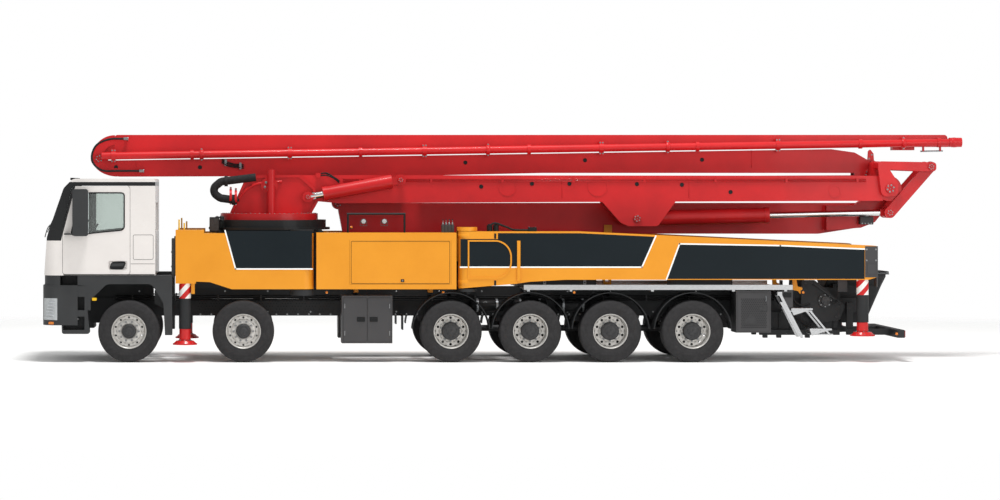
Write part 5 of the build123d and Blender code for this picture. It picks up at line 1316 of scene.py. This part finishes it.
def buildPumpLines():
    mesh = bmesh.new()
    # air tanks along the frame, with straps
    y, z = rearLook["tankY"], rearLook["tankZ"]
    for x in rearLook["airTanks"]:
        for side in (-1, 1):
            addTurned(mesh, [(-0.3, 0.03), (-0.29, 0.07), (-0.26, 0.105), (0.26, 0.105), (0.29, 0.07), (0.3, 0.03)],
                      (x, side * y, z), "x", 28, 0)
            for step in (-0.17, 0.17):
                addTurned(mesh, [(-0.018, 0.106), (-0.018, 0.111), (0.018, 0.111), (0.018, 0.106)],
                          (x + step, side * y, z), "x", 28, 1, closed=True, smooth=False)
                addBlock(mesh, (x + step - 0.018, x + step + 0.018), sideSpan(side, 0.45, y), (1.05, 1.07), 1)
    finishPiece(mesh, "air_tanks", "chassis", [ringBlack, zincSteel])
    mesh = bmesh.new()
    # cable looms and brake pipes clipped to the frame's webs
    for side in (-1, 1):
        for k in range(rearLook["looms"]):
            z = 1.12 - k * rearLook["loomPitch"]
            points = [(-6.9 + step * 1.3, side * (0.462 + 0.004 * (step % 2)), z - 0.006 * (step % 2))
                      for step in range(10)]
            addTube(mesh, points, 0.011, 0, 8, 5)
        for step in range(rearLook["clips"]):
            x = -6.6 + step * rearLook["clipPitch"]
            addBlock(mesh, about(x, 0.012), about(side * 0.466, 0.018), (1.03, 1.135), 1, 0.004)
            for height in (0.84, 1.2):
                addBolt(mesh, (x + 0.12, side * 0.45, height), side, 0.022, 2)
    finishPiece(mesh, "frame_looms", "chassis", [hoseRubber, darkSteel, boltSteel])


def buildRearSides():
    # what fills the rear corner beside the hopper: bearing plates, skirts, steps, a control box and its lever
    mesh = bmesh.new()
    for side in (-1, 1):
        near, far = sideSpan(side, 0.57, 0.6)
        plate = [(5.1, 1.4, 0.05), (5.32, 1.4, 0.05), (5.86, 0.96, 0.08), (5.76, 0.7, 0.08), (5.34, 0.64, 0.12),
                 (5.08, 0.9, 0.08)]
        addPrism(mesh, rounded(plate, 6), near, far, 0)
        for x, z in ((5.16, 1.34), (5.28, 1.34), (5.76, 0.98), (5.7, 0.76), (5.36, 0.7), (5.14, 0.92)):
            addBolt(mesh, (x, side * 0.6, z), side, 0.026, 1)
        near, far = sideSpan(side, 0.5, 0.52)
        addPrism(mesh, rounded([(4.52, 0.84, 0.03), (4.6, 0.52, 0.03), (5.72, 0.52, 0.03), (5.78, 0.84, 0.03)], 4),
                 near, far, 0)
        for k in range(6):
            edge = 4.72 + k * 0.19
            addBlock(mesh, about(edge, 0.012), about(side * 0.53, 0.012), (0.54, 0.82), 0, 0.004)
        near, far = sideSpan(side, 0.52, 0.6)
        addBlock(mesh, (4.36, 5.76), (near, far), (0.44, 0.53), 0, 0.012)
        for x in (4.46, 4.7, 5.2):
            addBlock(mesh, about(x, 0.04), (near, far), (0.39, 0.44), 0, 0.01)
        addTube(mesh, [(4.6, side * 0.56, 1.15), (4.72, side * 0.6, 0.98), (4.9, side * 0.6, 0.86),
                       (5.05, side * 0.58, 0.7), (5.3, side * 0.56, 0.56)], 0.022, 2, 12, 6)
        addTube(mesh, [(4.9, side * 0.55, 1.2), (4.98, side * 0.6, 1.02), (5.1, side * 0.62, 0.95),
                       (5.24, side * 0.6, 0.99)], 0.017, 2, 12, 6)
        addTube(mesh, [(5.3, side * 0.64, 1.33), (5.78, side * 0.64, 0.98)], 0.018, 0, 12)
    finishPiece(mesh, "rear_corner_plates", "chassis", [frameGrey, darkSteel, hoseRubber],
                0.0015)
    mesh = bmesh.new()
    for side in (-1, 1):
        near, far = sideSpan(side, 1.0, 1.18)
        addBlock(mesh, (4.64, 4.83), (near, far), (0.94, 1.24), 0, 0.012)
        addLatch(mesh, 4.735, side * 1.18, 1.16, side, 1)
        # amber lever plate and its knob
        near, far = sideSpan(side, 0.96, 0.98)
        addPrism(mesh, rounded([(4.86, 1.42, 0.01), (4.93, 1.42, 0.01), (4.95, 1.3, 0.02), (5.04, 1.28, 0.02),
                                (5.0, 1.16, 0.02), (4.96, 1.22, 0.02), (4.87, 1.24, 0.02)], 4), near, far, 2)
    finishPiece(mesh, "rear_control_boxes", "chassis", [boxGrey, trimBlack, armAmber], 0.0015)
    mesh = bmesh.new()
    for side in (-1, 1):
        near, far = sideSpan(side, 1.17, 1.2)
        addPrism(mesh, [(4.6, 1.04), (4.68, 1.04), (5.0, 0.46), (4.92, 0.44)], near, far, 0)
        for x0, x1, z in ((4.8, 5.17, 0.9), (5.12, 5.5, 0.55)):
            low, high = sideSpan(side, 0.8, 1.2)
            addBlock(mesh, (x0, x1), (low, high), (z, z + 0.03), 0, 0.006)
            bars = rearLook["treadBars"]
            for k in range(bars):
                x = x0 + 0.04 + k * (x1 - x0 - 0.08) / (bars - 1)
                addBlock(mesh, about(x, 0.006), (low, high), (z + 0.03, z + 0.036), 0)
            addPrism(mesh, [(x0, z), (x1 - 0.05, z), (x0 + 0.04, z - 0.09)], *sideSpan(side, 1.18, 1.2), 0)
    finishPiece(mesh, "rear_steps", "chassis", [railAluminium], 0.001)


def buildUnderrunLamps():
    mesh = bmesh.new()
    for side in (-1, 1):
        addTurned(mesh, [(0, 0.024), (side * 0.01, 0.024), (side * 0.018, 0.018), (side * 0.022, 0.008)],
                  (6.62, side * 1.19, 0.49), "y", 20, 0)
        addBlock(mesh, (4.93, 4.97), sideSpan(side, 0.5, 0.62), (1.2, 1.36), 1, 0.008)
        addTurned(mesh, [(0, 0.024), (side * 0.01, 0.024), (side * 0.018, 0.018)], (4.95, side * 0.62, 1.28), "y", 20,
                  0)
    finishPiece(mesh, "side_markers", "chassis", [amberLens, darkSteel])


def buildInnerPanels():
    # ribbed splash panels that close the bay behind the bumper and the rear of the front arch
    mesh = bmesh.new()
    for side in (-1, 1):
        near, far = sideSpan(side, 0.93, 0.95)
        addPrism(mesh, roundedPanel(-7.8, -7.25, 1.22, 1.5, 0.02), near, far, 0)
        addPrism(mesh, rounded([(-6.2, 1.0, 0.02), (-5.93, 0.86, 0.02), (-5.93, 1.24, 0.02), (-6.2, 1.24, 0.02)], 4),
                 near, far, 0)
        for k in range(5):
            addBlock(mesh, (-7.74 + k * 0.11, -7.71 + k * 0.11), about(side * 0.955, 0.008), (1.25, 1.47), 0, 0.006)
    finishPiece(mesh, "arch_splash_panels", "chassis", [cabPlastic], 0.001)


buildInnerPanels()
buildLowerBoxDoors()
buildHopperDetails()
buildRearSides()
buildPumpLines()
buildUnderrunLamps()
print("rear and chassis fittings")


stageSetup = {
    "floorHalf": 40, "floorColour": "#FAFAF9", "floorSolid": 13, "floorGone": 19, "keyPower": 7400, "fillPower": 1700,
    "skyStrength": 0.6,
    "keyPlace": (-2, -7, 30), "keyAim": (0, 0, 1.5), "keySize": 7,
    "fillPlace": (16, -22, 9), "fillAim": (2, 0, 2), "fillSize": 16,
    "lens": 105.1, "sensor": 36, "cameraPlace": (-4.77, -51.6, 3.06), "shiftX": 0.263, "shiftY": -0.065,
}


def buildStage(setup):
    world = bpy.data.worlds.new("studio")
    bpy.context.scene.world = world
    world.use_nodes = True
    tree = world.node_tree
    tree.nodes.clear()
    rays = addNode(tree, "ShaderNodeLightPath")
    seen = addNode(tree, "ShaderNodeMath", {"operation": "MAXIMUM"},
                   {0: rays.outputs["Is Camera Ray"], 1: rays.outputs["Is Transmission Ray"]})
    soft = addNode(tree, "ShaderNodeBackground", {"Color": (1, 1, 1, 1), "Strength": setup["skyStrength"]})
    white = addNode(tree, "ShaderNodeBackground", {"Color": (1, 1, 1, 1), "Strength": 1.0})
    mix = addNode(tree, "ShaderNodeMixShader", None, {0: seen.outputs[0], 1: soft.outputs[0], 2: white.outputs[0]})
    addNode(tree, "ShaderNodeOutputWorld", None, {"Surface": mix.outputs[0]})
    material = bpy.data.materials.new("studio_floor_painted")
    material.use_nodes = True
    tree = material.node_tree
    shader = tree.nodes["Principled BSDF"]
    shader.inputs["Base Color"].default_value = hexColour(setup["floorColour"])
    shader.inputs["Roughness"].default_value = 0.9
    shader.inputs["Specular IOR Level"].default_value = 0.1
    # the floor thins out to nothing away from the truck, so that no edge or horizon shows
    place = addNode(tree, "ShaderNodeTexCoord")
    squeeze = addNode(tree, "ShaderNodeMapping", None, {"Vector": place.outputs["Object"]})
    squeeze.inputs["Scale"].default_value = (0.75, 1, 1)
    far = addNode(tree, "ShaderNodeVectorMath", {"operation": "LENGTH"}, {0: squeeze.outputs["Vector"]})
    fade = addNode(tree, "ShaderNodeMapRange", {"interpolation_type": "SMOOTHSTEP", "From Min": setup["floorSolid"],
                                                "From Max": setup["floorGone"]},
                   {"Value": far.outputs["Value"]})
    clear = addNode(tree, "ShaderNodeBsdfTransparent")
    blend = addNode(tree, "ShaderNodeMixShader", None, {0: fade.outputs["Result"], 1: shader.outputs[0],
                                                        2: clear.outputs[0]})
    tree.links.new(blend.outputs[0], tree.nodes["Material Output"].inputs["Surface"])
    mesh = bmesh.new()
    half = setup["floorHalf"]
    addFace(mesh, [mesh.verts.new((x, y, -0.002)) for x, y in ((-half, -half), (half, -half), (half, half),
                                                               (-half, half))], 0)
    data = bpy.data.meshes.new("floor")
    mesh.to_mesh(data)
    mesh.free()
    data.materials.append(material)
    floor = bpy.data.objects.new("floor", data)
    bpy.context.scene.collection.objects.link(floor)
    for name in ("key", "fill"):
        place, aim = setup[name + "Place"], setup[name + "Aim"]
        lamp = bpy.data.lights.new(name + "Panel", "AREA")
        lamp.shape = "SQUARE"
        lamp.size = setup[name + "Size"]
        lamp.energy = setup[name + "Power"]
        holder = bpy.data.objects.new(name + "Panel", lamp)
        holder.location = place
        holder.rotation_euler = (Vector(aim) - Vector(place)).to_track_quat("-Z", "Y").to_euler()
        bpy.context.scene.collection.objects.link(holder)
    lens = bpy.data.cameras.new("camera")
    lens.lens = setup["lens"]
    lens.sensor_width = setup["sensor"]
    lens.shift_x, lens.shift_y = setup["shiftX"], setup["shiftY"]
    lens.clip_end = 1000
    camera = bpy.data.objects.new("camera", lens)
    camera.location = setup["cameraPlace"]
    camera.rotation_euler = (math.pi / 2, 0, 0)
    bpy.context.scene.collection.objects.link(camera)
    bpy.context.scene.camera = camera
    bpy.context.scene.view_settings.view_transform = "Standard"


buildStage(stageSetup)
print("stage ready")
